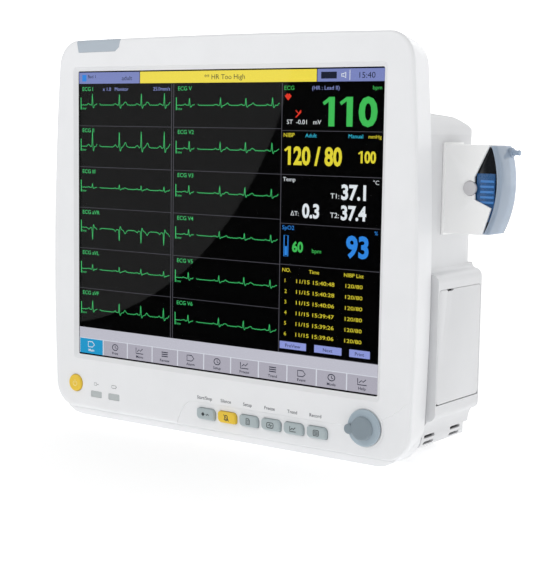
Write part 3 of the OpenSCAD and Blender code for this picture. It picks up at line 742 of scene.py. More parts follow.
def lettering(name, words, x, z, height, y, fit=None, bold=0.0, align="LEFT", thick=0.04, stretch=1.0):
    """Plain letters as a mesh, cap height and widths in millimetres; fit gives the whole width."""
    curve = bpy.data.curves.new(name, "FONT")
    curve.body = words
    curve.size = 1.0
    curve.resolution_u = 3
    curve.offset = bold
    curve.extrude = 0.01
    letters = bpy.data.objects.new(name, curve)
    bpy.context.scene.collection.objects.link(letters)
    graph = bpy.context.evaluated_depsgraph_get()
    mesh = bpy.data.meshes.new_from_object(letters.evaluated_get(graph))
    bpy.data.objects.remove(letters)
    made = bpy.data.objects.new(name, mesh)
    bpy.context.scene.collection.objects.link(made)
    spots = [v.co for v in mesh.vertices]
    left, right = min(p.x for p in spots), max(p.x for p in spots)
    # Capitals and digits of this letter are seven tenths of its size tall
    tall = 0.70 + 2 * bold
    scale_z = height / tall
    scale_x = fit / (right - left) if fit else scale_z * stretch
    shift = {"LEFT": left, "RIGHT": right, "CENTRE": (left + right) / 2}[align]
    for v in mesh.vertices:
        v.co = place(x + (v.co.x - shift) * scale_x, y + (0 if v.co.z > 0 else thick),
                     z + (v.co.y + bold) * scale_z)
    return outward(made, 1e-8)


# ---------------------------------------------------------------- keys and knob

def key_icons(number, x, y):
    """The small sign on a soft key."""
    z = KEY_Z
    line = 0.8
    if number == 0:
        signs = [deep("s", [(x - 4.2, z), (x - 2.2, z + 2), (x - 0.2, z), (x - 2.2, z - 2)], y, y + 0.1),
                 ribbon("s", [(x + 1.2, z + 0.4), (x + 2, z - 0.7), (x + 3, z + 0.6), (x + 4.4, z - 0.6)],
                        line, y, 0.1)]
    elif number == 1:
        bell = [(x - 2.4, z - 1.7), (x - 1.7, z - 1.0), (x - 1.5, z + 1), (x - 0.8, z + 2.1), (x, z + 2.4),
                (x + 0.8, z + 2.1), (x + 1.5, z + 1), (x + 1.7, z - 1.0), (x + 2.4, z - 1.7)]
        signs = [ribbon("s", bell, line, y, 0.1, True), deep("s", circle(x, z - 2.4, 0.6, 12), y, y + 0.1),
                 ribbon("s", [(x - 3, z + 2.8), (x + 3, z - 2.8)], 0.6, y - 0.02, 0.1)]
    elif number == 2:
        page = [(x - 1.8, z - 2.6), (x + 1.8, z - 2.6), (x + 1.8, z + 1.4), (x + 0.6, z + 2.6),
                (x - 1.8, z + 2.6)]
        signs = [ribbon("s", page, line, y, 0.1, True)]
        signs += [ribbon("s", [(x - 1.1, z + k), (x + 1.1, z + k)], 0.4, y, 0.1) for k in (-1.4, -0.2, 1.0)]
    elif number == 3:
        signs = [ribbon("s", rrect(x, z, 7, 4.6, 1.4, 3), 0.66, y, 0.1, True),
                 ribbon("s", [(x - 2.4, z), (x - 1, z), (x - 0.4, z + 1.4), (x + 0.5, z - 1.4), (x + 1, z),
                              (x + 2.4, z)], 0.66, y, 0.1)]
    elif number == 4:
        signs = [ribbon("s", [(x - 3, z + 2.4), (x - 3, z - 2.2), (x + 3.2, z - 2.2)], 0.66, y, 0.1),
                 ribbon("s", [(x - 2.2, z - 0.8), (x - 0.6, z + 0.6), (x + 0.8, z - 0.2), (x + 2.8, z + 1.6)],
                        line, y, 0.1)]
    else:
        signs = [ribbon("s", rrect(x, z, 5.4, 4.8, 0.8, 3), 0.66, y, 0.1, True)]
        signs += [ribbon("s", [(x - 1.9, z + k), (x + 1.9, z + k)], 0.55, y, 0.1) for k in (-1.1, 0.0, 1.1)]
    return [painted(s, "icon") for s in signs]


def build_soft_key(sizes, number):
    """One soft key: a pillowed cap, the flange behind it and its sign."""
    x = KEY_X0 + number * KEY_PITCH
    skin = [(3.4, 0), (-1.3, 0), (-1.9, -0.18), (-2.3, -0.55), (-2.52, -1.1), (-2.6, -1.9)]
    cap = loft("cap", [[place(a, y, b) for a, b in key_outline(sizes, x, g)] for y, g in skin])
    flange = deep("flange", rrect(x, KEY_Z, 22.6, 13, 3, 4), 3.3, 4.8)
    body = joined("body", [cap, flange])
    painted(smoothed(body, 30), "accent" if number == 1 else "key")
    name = f"key_{number + 1}"
    piece = joined(f"soft_key_{number + 1}", [body] + key_icons(number, x, -2.64))
    smoothed(piece, 30)
    add(piece, name, "key_yellow" if number == 1 else "key_grey", name)


def build_power_key():
    x, z = POWER
    profile = [(9.7, 4.8), (9.7, 3.3), (8.2, 3.3), (8.2, -0.9), (8.0, -1.5), (7.5, -1.95), (6.7, -2.2),
               (5.6, -2.12), (0.3, -1.6)]
    cap = painted(smoothed(lathe("cap", profile, (x, 0, z)), 30), "accent")
    sweep = [(x + 2.5 * math.sin(math.radians(a)), z - 0.3 + 2.5 * math.cos(math.radians(a)))
             for a in range(40, 321, 20)]
    signs = [ribbon("s", sweep, 0.7, -2.0, 0.5), ribbon("s", [(x, z + 3.2), (x, z + 0.2)], 0.7, -2.0, 0.5)]
    piece = joined("power_key", [cap] + [painted(s, "power_sign") for s in signs])
    add(smoothed(piece, 30), "key_power", "key_yellow", "key_power")


def build_knob(sizes):
    """Rotary knob: a domed skirt, a finger dish and a thumb lug past the rim."""
    r = sizes.knob_d / MM / 2
    centre = (KNOB[0], 0, KNOB[1])
    skirt = [(3.1, -1.2), (r, -1.2), (r, -2.0), (r - 0.4, -2.8), (r - 1.1, -3.3), (r - 2, -3.5), (12.2, -3.9),
             (10.6, -4.4), (9.6, -4.5), (0.3, -4.5)]
    grip = [(10.4, -4.0), (10.2, -6.3), (9.8, -7.1), (9.0, -7.6), (8.0, -7.8), (6, -7.5),
            (3, -7.3), (0.3, -7.25)]
    body = painted(smoothed(lathe("body", skirt, centre, steps=96), 32), "knob_skirt")
    top = lathe("grip", grip, centre, steps=96)
    lug_profile = [(4.3, -3.2), (4.3, -6.7), (3.8, -7.3), (2.6, -7.6), (0.2, -7.65)]
    lug = lathe("lug", lug_profile, (0, PLATE_Y, 0), steps=32)
    lug.data.transform(Matrix.Translation(place(KNOB[0] - 12.4, 0, KNOB[1] - 1.6)))
    neck = eased(block("neck", KNOB[0] - 12.4, KNOB[0] - 7, -7.2, -3.8, KNOB[1] - 4.2, KNOB[1] + 1.2), 0.6)
    combine(top, "UNION", [neck])
    combine(top, "UNION", [lug])
    painted(smoothed(outward(top), 32), "knob")
    add(smoothed(joined("rotary_knob", [body, top]), 32), "knob", "knob_grey", "knob")


class MONITOR_OT_controls(bpy.types.Operator):
    """Build the soft keys, the power key, the knob and the printed words beside them"""
    bl_idname = "monitor.controls"
    bl_label = "Keys and knob"

    def execute(self, context):
        sizes = context.scene.monitor_sizes
        for number in range(6):
            build_soft_key(sizes, number)
        build_power_key()
        build_knob(sizes)
        words = ("Start/Stop", "Silence", "Setup", "Freeze", "Trend", "Record")
        prints = [lettering("word", word, KEY_X0 + i * KEY_PITCH - 2.5, KEY_Z + 13.0, 3.1, -0.03,
                            align="CENTRE", bold=0.012) for i, word in enumerate(words)]
        plug = [(LED_X[0] - 2.6, 31), (LED_X[0] + 0.4, 31), (LED_X[0] + 0.4, 33.4), (LED_X[0] - 2.6, 33.4)]
        cell = rrect(LED_X[1], 32.2, 5.4, 2.6, 0.4, 2)
        prints += [ribbon("word", plug, 0.4, -0.03, 0.04, True),
                   ribbon("word", [(LED_X[0] + 0.4, 32.2), (LED_X[0] + 3, 32.2)], 0.4, -0.03),
                   ribbon("word", cell, 0.4, -0.03, 0.04, True),
                   ribbon("word", [(LED_X[1] + 3, 31.6), (LED_X[1] + 3, 32.8)], 0.5, -0.03)]
        add(painted(joined("front_prints", prints), "print"), "housing", "panel_grey")
        return {"FINISHED"}


# ---------------------------------------------------------------- display

INKS = {
    "green": (70, 196, 92), "trace": (70, 206, 116), "yellow": (238, 222, 60), "cyan": (60, 196, 226),
    "blue": (52, 140, 232), "white": (236, 240, 244), "lilac": (150, 160, 226), "red": (236, 62, 44),
    "title": (132, 142, 200), "alarm": (254, 232, 84), "rule": (88, 86, 94), "strip": (204, 202, 213),
    "tile": (184, 180, 192), "tile_first": (40, 160, 212), "dark": (34, 38, 56), "seam": (226, 228, 236),
}


class Display:
    """Gathers the display's graphics by colour; u runs right and v down, both from 0 to 1."""

    def __init__(self):
        self.parts = {ink: [] for ink in INKS}

    def spot(self, u, v):
        return ((u - 0.5) * SCREEN_W * PICTURE_STRETCH - PICTURE_SHIFT, SCREEN_Z + SCREEN_H * (1 - v))

    def box(self, ink, u0, v0, u1, v1, level=1):
        x0, z1 = self.spot(u0, v0)
        x1, z0 = self.spot(u1, v1)
        y = FACE_Y - LEVEL * level
        self.parts[ink].append(block("patch", x0, x1, y, y + 0.04, z0, z1))

    def line(self, ink, points, width, level=1, closed=False):
        y = FACE_Y - LEVEL * level
        self.parts[ink].append(ribbon("line", [self.spot(u, v) for u, v in points], width, y, 0.04, closed))

    def text(self, ink, words, u, v, height, level=2, align="LEFT", bold=0.0, fit=None):
        """Words whose capitals are height tall, as a share of the display, standing on the line v."""
        x, z = self.spot(u, v)
        wide = fit * SCREEN_W if fit else None
        y = FACE_Y - LEVEL * level
        tall = height * SCREEN_H
        self.parts[ink].append(lettering("text", words, x, z, tall, y, wide, bold, align, 0.03, 1.12))

    def figure(self, ink, words, u0, v0, u1, v1, flags=()):
        """A large bold reading that fills its box; flags are the places of its figure ones."""
        self.text(ink, words, u0, v1, v1 - v0, bold=0.035, fit=u1 - u0)
        tall = v1 - v0
        for u in flags:
            flag = [(u - 0.22 * tall, v0 + 0.25 * tall), (u, v0 + 0.07 * tall)]
            self.line(ink, flag, 0.12 * tall * SCREEN_H, 2)


def heart_line(lead, start, end, base, height):
    """Points of one lead's trace: four beats, each with its small wave before and after the spike."""
    points = []
    width = end - start
    u = start
    while u <= end:
        v = base + 0.0008 * math.sin(u * 700 + lead * 2.1)
        for share in (0.148, 0.45, 0.69, 0.935):
            near = (u - start) / width - share
            v -= 0.13 * height * math.exp(-((near + 0.045) / 0.013) ** 2)
            v -= height * math.exp(-(near / 0.0042) ** 2)
            v += 0.26 * height * math.exp(-((near - 0.012) / 0.008) ** 2)
            v -= 0.27 * height * math.exp(-((near - 0.066) / 0.017) ** 2)
        points.append((u, v))
        u += 0.0009
    return points


def draw_waves(display):
    names = (("ECG I", "ECG V"), ("ECG II", "ECG V2"), ("ECG III", "ECG V3"), ("ECG aVR", "ECG V4"),
             ("ECG aVL", "ECG V5"), ("ECG aVF", "ECG V6"))
    tall = ((0.04, 0.026), (0.058, 0.028), (0.016, 0.026), (-0.045, 0.02), (0.018, 0.022), (0.036, 0.024))
    bases = (0.113, 0.258, 0.403, 0.546, 0.694, 0.840)
    for row in range(6):
        label = 0.064 + WAVE_ROW * row
        for column in range(2):
            left = 0.001 if column == 0 else 0.348
            right = 0.336 if column == 0 else 0.694
            wide = right - left
            display.text("trace", names[row][column], left + 0.012, label, 0.0135, bold=0.006)
            base, gap = bases[row], left + wide * 0.2
            display.line("trace", [(left + 0.006, base - 0.026), (left + 0.006, base + 0.016)], 0.9)
            display.line("trace", [(left + 0.006, base), (left + 0.015, base)], 0.55)
            display.text("trace", "1mv", left + 0.009, base + 0.016, 0.009)
            trace = heart_line(row + 6 * column, left, right - 0.002, base, tall[row][column])
            display.line("trace", [p for p in trace if left + 0.014 < p[0] < gap], 0.55)
            display.line("trace", [p for p in trace if p[0] > gap + wide * 0.028], 0.55)
        if row < 5:
            v = WAVE_TOP + WAVE_ROW * (row + 1)
            display.box("rule", 0.0, v, 0.337, v + 0.0015)
            display.box("rule", 0.346, v, 0.70, v + 0.0015)
    display.text("lilac", "x 1.0   Monitor", 0.09, 0.064, 0.012)
    display.text("lilac", "25.0mm/s", 0.332, 0.064, 0.012, align="RIGHT")
    for u in (0.337, 0.344, 0.6985):
        display.box("rule", u, WAVE_TOP, u + 0.0018, 0.906)


def draw_bars(display):
    display.box("title", 0, 0, 0.224, 0.039)
    display.box("alarm", 0.226, 0, 0.803, 0.039)
    display.box("title", 0.805, 0, 1, 0.039)
    display.box("blue", 0.012, 0.008, 0.028, 0.031, 2)
    display.text("dark", "Bed 1", 0.034, 0.020, 0.011)
    display.text("dark", "adult", 0.16, 0.028, 0.015)
    display.text("dark", "** HR Too High", 0.515, 0.028, 0.016, align="CENTRE")
    display.box("dark", 0.816, 0.009, 0.862, 0.030, 2)
    display.line("white", [(0.876, 0.016), (0.882, 0.016), (0.888, 0.010), (0.888, 0.029), (0.882, 0.023),
                           (0.876, 0.023)], 0.8, 2, True)
    display.box("seam", 0.899, 0.004, 0.901, 0.035, 2)
    display.text("dark", "15:40", 0.95, 0.029, 0.018, align="CENTRE")
    display.box("strip", 0, 0.906, 1, TILES_TOP)
    display.box("seam", 0, TILES_TOP, 1, 1)
    words = ("Main", "Print", "Menu", "Review", "Alarm", "Setup", "Freeze", "Trend", "Event", "Mode", "Help")
    for i, word in enumerate(words):
        left = i / len(words) + 0.0018
        right = (i + 1) / len(words) - 0.0018
        middle = (left + right) / 2
        display.box("tile_first" if i == 0 else "tile", left, 0.9465, right, 1, 2)
        ink = "white" if i == 0 else "dark"
        display.text(ink, word, middle, 0.992, 0.0095, 3, "CENTRE", 0.01)
        draw_tile_sign(display, i, middle, 0.966, ink)


def draw_tile_sign(display, i, u, v, ink):
    """The small sign of a menu tile."""
    if i % 4 == 0:
        display.line(ink, [(u - 0.012, v - 0.009), (u + 0.004, v - 0.009), (u + 0.012, v + 0.001),
                           (u + 0.004, v + 0.010), (u - 0.012, v + 0.010)], 0.8, 3, True)
    elif i % 4 == 1:
        ring = [(u + 0.0105 * math.cos(a * math.tau / 12), v + 0.0105 * math.sin(a * math.tau / 12))
                for a in range(12)]
        display.line(ink, ring, 0.8, 3, True)
        display.line(ink, [(u, v - 0.006), (u, v + 0.001), (u + 0.005, v + 0.003)], 0.7, 3)
    elif i % 4 == 2:
        display.line(ink, [(u - 0.013, v - 0.010), (u - 0.013, v + 0.010), (u + 0.013, v + 0.010)], 0.8, 3)
        display.line(ink, [(u - 0.009, v + 0.004), (u - 0.002, v - 0.004), (u + 0.003, v + 0.001),
                           (u + 0.011, v - 0.008)], 0.7, 3)
    else:
        for k in (-0.007, 0.0, 0.007):
            display.line(ink, [(u - 0.011, v + k), (u + 0.011, v + k)], 0.9, 3)


def draw_readings(display):
    for v in (0.191, 0.330, 0.486, 0.618, 0.904):
        display.box("rule", 0.70, v, 1.0, v + 0.0016)
    display.text("green", "ECG", 0.706, 0.064, 0.013)
    display.text("lilac", "(HR : Lead II)", 0.79, 0.064, 0.012)
    display.text("green", "bpm", 0.992, 0.064, 0.012, align="RIGHT")
    display.line("red", [(0.711, 0.082), (0.7145, 0.079), (0.718, 0.083), (0.7215, 0.079), (0.725, 0.082),
                         (0.718, 0.093)], 2.4, 2, True)
    display.line("red", [(0.742, 0.128), (0.75, 0.138), (0.758, 0.128)], 1.0, 2)
    display.line("red", [(0.742, 0.150), (0.758, 0.133)], 1.0, 2)
    display.text("white", "ST  -0.01   mV", 0.715, 0.171, 0.014)
    display.figure("green", "110", 0.840, 0.084, 0.982, 0.177, (0.845, 0.895))
    display.text("yellow", "NIBP", 0.706, 0.212, 0.013)
    display.text("cyan", "Adult", 0.772, 0.212, 0.012)
    display.text("cyan", "Manual", 0.90, 0.212, 0.012)
    display.text("yellow", "mmHg", 0.994, 0.212, 0.011, align="RIGHT")
    display.figure("yellow", "120 / 80", 0.720, 0.240, 0.883, 0.300, (0.723,))
    display.figure("yellow", "100", 0.936, 0.250, 0.980, 0.288, (0.938,))
    display.text("white", "Temp", 0.706, 0.352, 0.013)
    display.text("white", "°C", 0.99, 0.352, 0.013, align="RIGHT")
    display.text("white", "T1:", 0.876, 0.400, 0.016, align="RIGHT")
    display.text("white", "T2:", 0.876, 0.460, 0.016, align="RIGHT")
    display.text("white", "ΔT:", 0.756, 0.460, 0.014, align="RIGHT")
    display.figure("white", "37.1", 0.882, 0.354, 0.954, 0.403)
    display.figure("white", "37.4", 0.882, 0.419, 0.956, 0.466)
    display.figure("white", "0.3", 0.766, 0.419, 0.818, 0.466)
    display.text("blue", "SpO2", 0.706, 0.506, 0.013)
    display.text("blue", "%", 0.99, 0.506, 0.012, align="RIGHT")
    display.line("blue", [(0.712, 0.525), (0.724, 0.525), (0.724, 0.592), (0.712, 0.592)], 0.9, 1, True)
    display.box("blue", 0.7145, 0.560, 0.7215, 0.589, 2)
    display.figure("green", "60", 0.737, 0.542, 0.771, 0.577)
    display.text("green", "bpm", 0.798, 0.575, 0.013)
    display.figure("blue", "93", 0.899, 0.511, 0.965, 0.582)
    display.text("yellow", "NO.", 0.708, 0.642, 0.012)
    display.text("yellow", "Time", 0.79, 0.642, 0.012)
    display.text("yellow", "NIBP List", 0.895, 0.642, 0.012)
    times = ("15:40:48", "15:40:28", "15:40:06", "15:39:47", "15:39:26", "15:39:06")
    for i, time in enumerate(times):
        v = 0.676 + 0.0345 * i
        display.text("yellow", str(i + 1), 0.716, v, 0.012)
        display.text("yellow", "11/15 " + time, 0.752, v, 0.0125, fit=0.116)
        display.text("yellow", "120/80", 0.900, v, 0.012, fit=0.050)
    for left, right, word in ((0.703, 0.785, "PreView"), (0.81, 0.892, "Next"), (0.915, 0.975, "Print")):
        display.box("lilac", left, 0.868, right, 0.892)
        display.text("dark", word, (left + right) / 2, 0.886, 0.011, align="CENTRE")


class MONITOR_OT_display(bpy.types.Operator):
    """Build the picture that the display shows, behind the touch glass"""
    bl_idname = "monitor.display"
    bl_label = "Display"

    def execute(self, context):
        display = Display()
        draw_bars(display)
        draw_waves(display)
        draw_readings(display)
        for ink, parts in display.parts.items():
            if not parts:
                continue
            FINISHES["glow_" + ink] = glow("display_" + ink, tone(*INKS[ink]))
            piece = painted(joined("display_" + ink, parts), "glow_" + ink)
            add(piece, "housing", "display_panel")
        return {"FINISHED"}


# ---------------------------------------------------------------- gas module, recorder and rear

def build_gas_module():
    """The water trap in its holder: black cup, blue grip and clear curved cover."""
    # The holder takes the shell colour painted lighter, as painted light
    softened("trap_holder", "trap_housing", 0.7, "holder", "housing", "white_shell")
    cup = loft("cup", [[place(x, y, z) for x, y in rrect((212 + reach) / 2, 75, reach - 212, 22, 1.2, 3)]
                       for z, reach in trap_levels(197, 267, TRAP_R)])
    stubs = [lathe("stub", [(2.3, 0), (2.3, 7.4)], (205, 75, HOLDER_Z0 + z), "X", 24) for z in (24, 50)]
    for item in [cup] + stubs:
        painted(smoothed(item), "trap_black")
    grip = eased(block("grip", 225, 242, 63.0, 64.6, 206, 246), 0.5, 2)
    painted(smoothed(grip), "trap_blue")
    ribs = finger_ribs()
    piece = joined("trap_cup", [cup, grip, ribs] + stubs)
    add(smoothed(piece, 35), "trap", "trap_blue", "trap_body")
    build_trap_cover()
    x, z = 220.5, HOLDER_Z0 + 38.5
    button = lathe("release_button", [(6, 2.6), (6, 0.5), (5.7, 0.12), (5.1, 0), (3.6, 0.25), (0.3, 0.4)],
                   (x, 58.8, z), steps=48)
    add(painted(smoothed(button), "button"), "trap_release", "button_grey", "trap_release")


def finger_ribs():
    """A row of rounded ribs across the trap's grip."""
    tree, start, keys = node_group("finger_ribs", (
        ("Ribs", "NodeSocketInt", 5), ("Pitch", "NodeSocketFloat", 0.0044),
        ("Length", "NodeSocketFloat", 0.0125), ("Radius", "NodeSocketFloat", 0.0012)))
    line = tree.nodes.new("GeometryNodeMeshLine")
    offset = tree.nodes.new("ShaderNodeCombineXYZ")
    rod = tree.nodes.new("GeometryNodeMeshCylinder")
    rod.inputs["Vertices"].default_value = 14
    wire(tree, (start.outputs["Ribs"], line.inputs["Count"]), (start.outputs["Pitch"], offset.inputs["Z"]),
         (offset.outputs[0], line.inputs["Offset"]), (start.outputs["Length"], rod.inputs["Depth"]),
         (start.outputs["Radius"], rod.inputs["Radius"]))
    instances(tree, line.outputs["Mesh"], rod.outputs["Mesh"], (0, math.pi / 2, 0), "trap_ribs")
    ribs = grown("ribs", tree, {keys["Ribs"]: 5})
    ribs.data.transform(Matrix.Translation(place(235.2, 63.4, HOLDER_Z0 + 27)))
    return smoothed(outward(ribs))


def trap_levels(low, high, r, steps=28):
    """Heights up the trap's curved front and how far its arc reaches at each."""
    levels = [low + (high - low) * i / steps for i in range(steps + 1)]
    return [(z, TRAP_X + math.sqrt(r * r - (z - TRAP_Z) ** 2)) for z in levels]


def build_trap_cover():
    """The clear cover bows outwards and carries the sample nozzle."""
    inner = trap_levels(195.6, 268.9, TRAP_R + 0.1)
    outer = trap_levels(195.6, 268.9, TRAP_R + 5.1)
    rings = [[place(x, y, z) for x, y in rrect((a + b) / 2, 74.4, b - a, 29.0, 1.6, 4)]
             for (z, a), (_, b) in zip(inner, outer)]
    shell = painted(smoothed(loft("shell", rings), 40), "trap_clear")
    profile = [(4.2, 0), (4.2, 5.2), (3.9, 5.6), (2.3, 5.6), (2.3, 8.3), (2.0, 8.7), (2.0, 9.8), (2.3, 10.2),
               (2.3, 11.4), (1.9, 12)]
    tube = painted(smoothed(lathe("tube", profile, (242, 84, 263.3), "X", 32), 40), "trap_clear")
    add(smoothed(joined("trap_front", [shell, tube]), 40), "trap", "trap_clear", "trap_cover")


def cross_screws():
    """Screw heads with a cross recess, set on the rear cover's four corners."""
    profile = [(SCREW_HEAD_R, 0.2), (SCREW_HEAD_R, 2.2), (3.1, 2.7), (2.2, 3.0), (0.2, SCREW_HEAD_H)]
    head = lathe("head", profile, (0, PLATE_Y, 0), steps=32)
    bars = [block("bar", -x, x, PLATE_Y + 1.9, PLATE_Y + 4, -z, z) for x, z in ((2, 0.35), (0.35, 2))]
    combine(head, "DIFFERENCE", bars)
    painted(smoothed(head, 35), "turned")
    tree, start, keys = node_group("cross_screws", (("Width", "NodeSocketFloat", 0.0),
                                                    ("Height", "NodeSocketFloat", 0.0)))
    grid = tree.nodes.new("GeometryNodeMeshGrid")
    grid.inputs["Vertices X"].default_value = 2
    grid.inputs["Vertices Y"].default_value = 2
    stand = tree.nodes.new("GeometryNodeTransform")
    stand.inputs["Rotation"].default_value = (math.pi / 2, 0, 0)
    source = tree.nodes.new("GeometryNodeObjectInfo")
    source.inputs["Object"].default_value = head
    wire(tree, (start.outputs["Width"], grid.inputs["Size X"]),
         (start.outputs["Height"], grid.inputs["Size Y"]), (grid.outputs["Mesh"], stand.inputs["Geometry"]))
    instances(tree, stand.outputs[0], source.outputs["Geometry"], (0, 0, 0), "turned")
    low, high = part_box("cover_screws")
    head_w = 2 * SCREW_HEAD_R * MM
    screws = grown("cover_screw_heads", tree, {keys["Width"]: high.x - low.x - head_w,
                                               keys["Height"]: high.z - low.z - head_w})
    bpy.data.objects.remove(head)
    screws.data.transform(Matrix.Translation(Vector(((low.x + high.x) / 2, high.y - SCREW_HEAD_H * MM,
                                                     (low.z + high.z) / 2))))
    return smoothed(outward(screws, 1e-7), 35)


class MONITOR_OT_gas_module(bpy.types.Operator):
    """Build the gas module's holder, water trap, clear cover and release button"""
    bl_idname = "monitor.gas_module"
    bl_label = "Gas module"

    def execute(self, context):
        build_gas_module()
        return {"FINISHED"}


class MONITOR_OT_housing(bpy.types.Operator):
    """Build the rear housing, recorder door, side panel and rear fittings"""
    bl_idname = "monitor.housing"
    bl_label = "Housing"

    def execute(self, context):
        cover = smoothed(traced_copy("rear_cover", "rear_housing"), 30)
        even = cover.modifiers.new("normals", "WEIGHTED_NORMAL")
        even.keep_sharp = True
        apply_modifiers(cover)
        # The rear housing and its doors take the shell colour darkened as painted shade
        add(painted(cover, "shell_side"), "housing", "white_shell", "rear_cover")
        for node, name, width, finish, body, slot in (
                ("recorder_door", "recorder_lid", 0.5, "shell_side", "recorder_door", "white_shell"),
                ("battery_door", "battery_lid", 0.3, "shell_side", "battery_door", "white_shell"),
                ("side_panel", "socket_panel", 0.35, "panel", "housing", "panel_grey"),
                ("mains_inlet", "mains_socket", 0.4, "black", "housing", "black_plastic"),
                ("base_plate", "foot_plate", 0.4, "steel", "housing", "steel"),
                ("rubber_feet", "round_feet", 0.6, "rubber", "housing", "rubber"),
                ("socket_ecg", "socket_ecg_shell", 0.35, "green", "housing", "socket_green"),
                ("socket_spo2", "socket_spo2_shell", 0.35, "blue", "housing", "socket_blue"),
                ("sockets_temp", "sockets_temp_shell", 0.35, "brown", "housing", "socket_brown"),
                ("socket_nibp", "socket_nibp_shell", 0.35, "turned", "housing", "steel")):
            softened(node, name, width, finish, body, slot)
        add(painted(cross_screws(), "turned"), "housing", "steel")
        return {"FINISHED"}


NODE_FINISHES = {
    "touch_glass": "glass", "screen_gasket": "rubber", "lcd_module": "panel_dark", "keypad_mat": "silicone",
    "key_board": "board", "alarm_board": "board", "main_board": "board", "parameter_board": "board",
    "encoder": "steel", "push_stem": "turned", "knob_shaft": "turned", "chassis": "steel",
    "power_supply": "steel", "battery_pack": "wrap", "battery_tray": "steel", "nibp_pump": "black",
    "nibp_manifold": "manifold", "gas_bench": "cast", "trap_receptacle": "black", "speaker": "black",
    "fan_frame": "black", "fan_rotor": "black", "ground_stud": "turned", "network_port": "steel",
    "usb_port": "steel", "cover_screws": "turned", "mount_inserts": "brass", "recorder_frame": "black",
    "print_head": "black", "paper_roll": "paper", "platen_roller": "rubber", "door_latch": "shell_side",
    "screen_back": "shell_side",
}


class MONITOR_OT_inside(bpy.types.Operator):
    """Give every carried-over node its finish"""
    bl_idname = "monitor.inside"
    bl_label = "Carried-over nodes"

    def execute(self, context):
        for node, finish in NODE_FINISHES.items():
            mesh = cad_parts[node].data
            if not mesh.materials:
                mesh.materials.append(FINISHES[finish])
            for index in range(len(mesh.materials)):
                mesh.materials[index] = FINISHES[finish]
        return {"FINISHED"}


# ---------------------------------------------------------------- stage

CAMERA_SPOT = Vector((0.7525, -1.0316, 0.2811))
CAMERA_YAW = math.radians(-35.60)
CAMERA_PITCH = math.radians(6.886)
CAMERA_ROLL = math.radians(0.817)
CAMERA_LENS = 84.15


def plain_material(name, colour, emission=0.0):
    made = Finish(name)
    drift = made.noise(1.2)
    return made.surface({"Base Color": made.blend(drift, shade(colour, 0.99), shade(colour, 1.0)),
                         "Roughness": 0.9, "Emission Color": (1, 1, 1, 1), "Emission Strength": emission})


def sheet_of(name, corners, material):
    made = mesh_object(name, corners, [tuple(range(len(corners)))])
    made.data.materials.append(material)
    return made


def area_light(name, spot, target, size, power):
    lamp = bpy.data.lights.new(name, "AREA")
    lamp.shape = "RECTANGLE"
    lamp.size, lamp.size_y = size
    lamp.energy = power
    made = bpy.data.objects.new(name, lamp)
    made.location = spot
    made.rotation_euler = (Vector(target) - Vector(spot)).to_track_quat("-Z", "Y").to_euler()
    bpy.context.scene.collection.objects.link(made)


def build_camera():
    forward = Vector((math.sin(CAMERA_YAW) * math.cos(CAMERA_PITCH),
                      math.cos(CAMERA_YAW) * math.cos(CAMERA_PITCH), -math.sin(CAMERA_PITCH)))
    right = Vector((math.cos(CAMERA_YAW), -math.sin(CAMERA_YAW), 0))
    up = right.cross(forward)
    level, tilt = math.cos(CAMERA_ROLL), math.sin(CAMERA_ROLL)
    side, top = level * right + tilt * up, level * up - tilt * right
    data = bpy.data.cameras.new("camera")
    data.lens = CAMERA_LENS
    data.sensor_width = 36
    data.sensor_fit = "AUTO"
    camera = bpy.data.objects.new("camera", data)
    facing = Matrix((side, top, -forward)).transposed().to_4x4()
    camera.matrix_world = Matrix.Translation(CAMERA_SPOT) @ facing
    bpy.context.scene.collection.objects.link(camera)
    bpy.context.scene.camera = camera


def reflection_cards():
    """Black cards that the glass mirrors, and a paler disc that rounds off one corner of them."""
    plane = (GLASS_Y - PLATE_Y) * MM
    eye = Vector((CAMERA_SPOT.x, 2 * plane - CAMERA_SPOT.y, CAMERA_SPOT.z))
    reach = eye.y - plane
    ahead = 0.35

    def mirrored(x, z, extra=0.0):
        grow = (reach + ahead - extra) / reach
        return eye + (Vector((x * MM, plane, z * MM)) - eye) * grow

    dark = plain_material("card_black", (0.002, 0.002, 0.002))
    pale = plain_material("card_grey", (0.02, 0.02, 0.02), 0.125)
    card = sheet_of("card_dark", [mirrored(-1800, -120), mirrored(2200, -120), mirrored(2200, 520),
                                  mirrored(-1800, 520)], dark)
    low = sheet_of("card_floor", [Vector((x, y, 0.0008)) for x, y in ((-2, -2.2), (2, -2.2), (2, -0.08),
                                                                       (-2, -0.08))], dark)
    disc = sheet_of("card_disc", [mirrored(x, z, 0.004) for x, z in circle(-232.5, 401.1, 317, 96)], pale)
    for item in (card, low, disc):
        item.visible_camera = False
        item.visible_diffuse = False
        item.visible_shadow = False


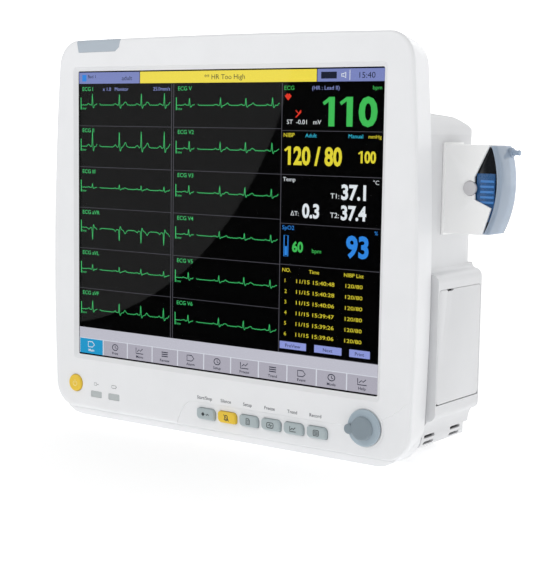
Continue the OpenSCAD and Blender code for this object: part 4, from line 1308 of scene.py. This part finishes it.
class MONITOR_OT_stage(bpy.types.Operator):
    """Set the floor, the backdrop, the studio lights and the camera"""
    bl_idname = "monitor.stage"
    bl_label = "Stage"

    def execute(self, context):
        scene = context.scene
        scene.view_settings.view_transform = "Standard"
        world = bpy.data.worlds.new("studio")
        world.use_nodes = True
        tree = world.node_tree
        light = tree.nodes["Background"]
        light.inputs["Color"].default_value = (1, 1, 1, 1)
        light.inputs["Strength"].default_value = 0.56
        seen = tree.nodes.new("ShaderNodeBackground")
        seen.inputs["Color"].default_value = (1, 1, 1, 1)
        path = tree.nodes.new("ShaderNodeLightPath")
        either = tree.nodes.new("ShaderNodeMixShader")
        wire(tree, (path.outputs["Is Camera Ray"], either.inputs["Fac"]),
             (light.outputs[0], either.inputs[1]), (seen.outputs[0], either.inputs[2]),
             (either.outputs[0], tree.nodes["World Output"].inputs["Surface"]))
        scene.world = world
        floor = plain_material("floor_pale", (0.9, 0.9, 0.9), 0.42)
        backdrop = plain_material("backdrop_pale", (0.8, 0.8, 0.8), 0.8)
        sheet_of("floor", [Vector((x, y, 0)) for x, y in ((-9, -9), (9, -9), (9, 9), (-9, 9))], floor)
        sheet_of("backdrop", [Vector((-7, 3.6, 0)), Vector((4, 5.6, 0)), Vector((4, 5.6, 4)),
                              Vector((-7, 3.6, 4))], backdrop)
        area_light("key_light", (-0.9, -1.9, 1.7), (0, 0, 0.2), (1.6, 1.2), 15)
        area_light("side_light", (2.2, -0.2, 0.9), (0, 0, 0.2), (1.2, 1.2), 3.5)
        area_light("rear_light", (0.3, 2.0, 1.5), (0, 0, 0.2), (1.4, 1.0), 6)
        build_camera()
        reflection_cards()
        return {"FINISHED"}


# ---------------------------------------------------------------- panel and run

OPERATORS = (MONITOR_OT_stage, MONITOR_OT_front, MONITOR_OT_controls, MONITOR_OT_display,
             MONITOR_OT_gas_module, MONITOR_OT_housing, MONITOR_OT_inside)


class MONITOR_PT_pieces(bpy.types.Panel):
    """Lists the monitor's pieces, sizes and colours"""
    bl_idname = "MONITOR_PT_pieces"
    bl_label = "Patient Monitor"
    bl_space_type = "VIEW_3D"
    bl_region_type = "UI"
    bl_category = "Monitor"

    def draw(self, context):
        for operator in OPERATORS:
            self.layout.operator(operator.bl_idname)
        for group in (context.scene.monitor_sizes, context.scene.monitor_colours):
            for name in group.__annotations__:
                self.layout.prop(group, name)


CLASSES = (MonitorSizes, MonitorColours) + OPERATORS + (MONITOR_PT_pieces,)


def register():
    for item in CLASSES:
        bpy.utils.register_class(item)
    bpy.types.Scene.monitor_sizes = bpy.props.PointerProperty(type=MonitorSizes)
    bpy.types.Scene.monitor_colours = bpy.props.PointerProperty(type=MonitorColours)


def unregister():
    del bpy.types.Scene.monitor_colours
    del bpy.types.Scene.monitor_sizes
    for item in reversed(CLASSES):
        bpy.utils.unregister_class(item)


def main():
    register()
    make_finishes(bpy.context.scene.monitor_colours)
    bpy.ops.monitor.stage()
    bpy.ops.monitor.front()
    bpy.ops.monitor.controls()
    bpy.ops.monitor.display()
    bpy.ops.monitor.gas_module()
    bpy.ops.monitor.housing()
    bpy.ops.monitor.inside()


if __name__ == "__main__":
    main()
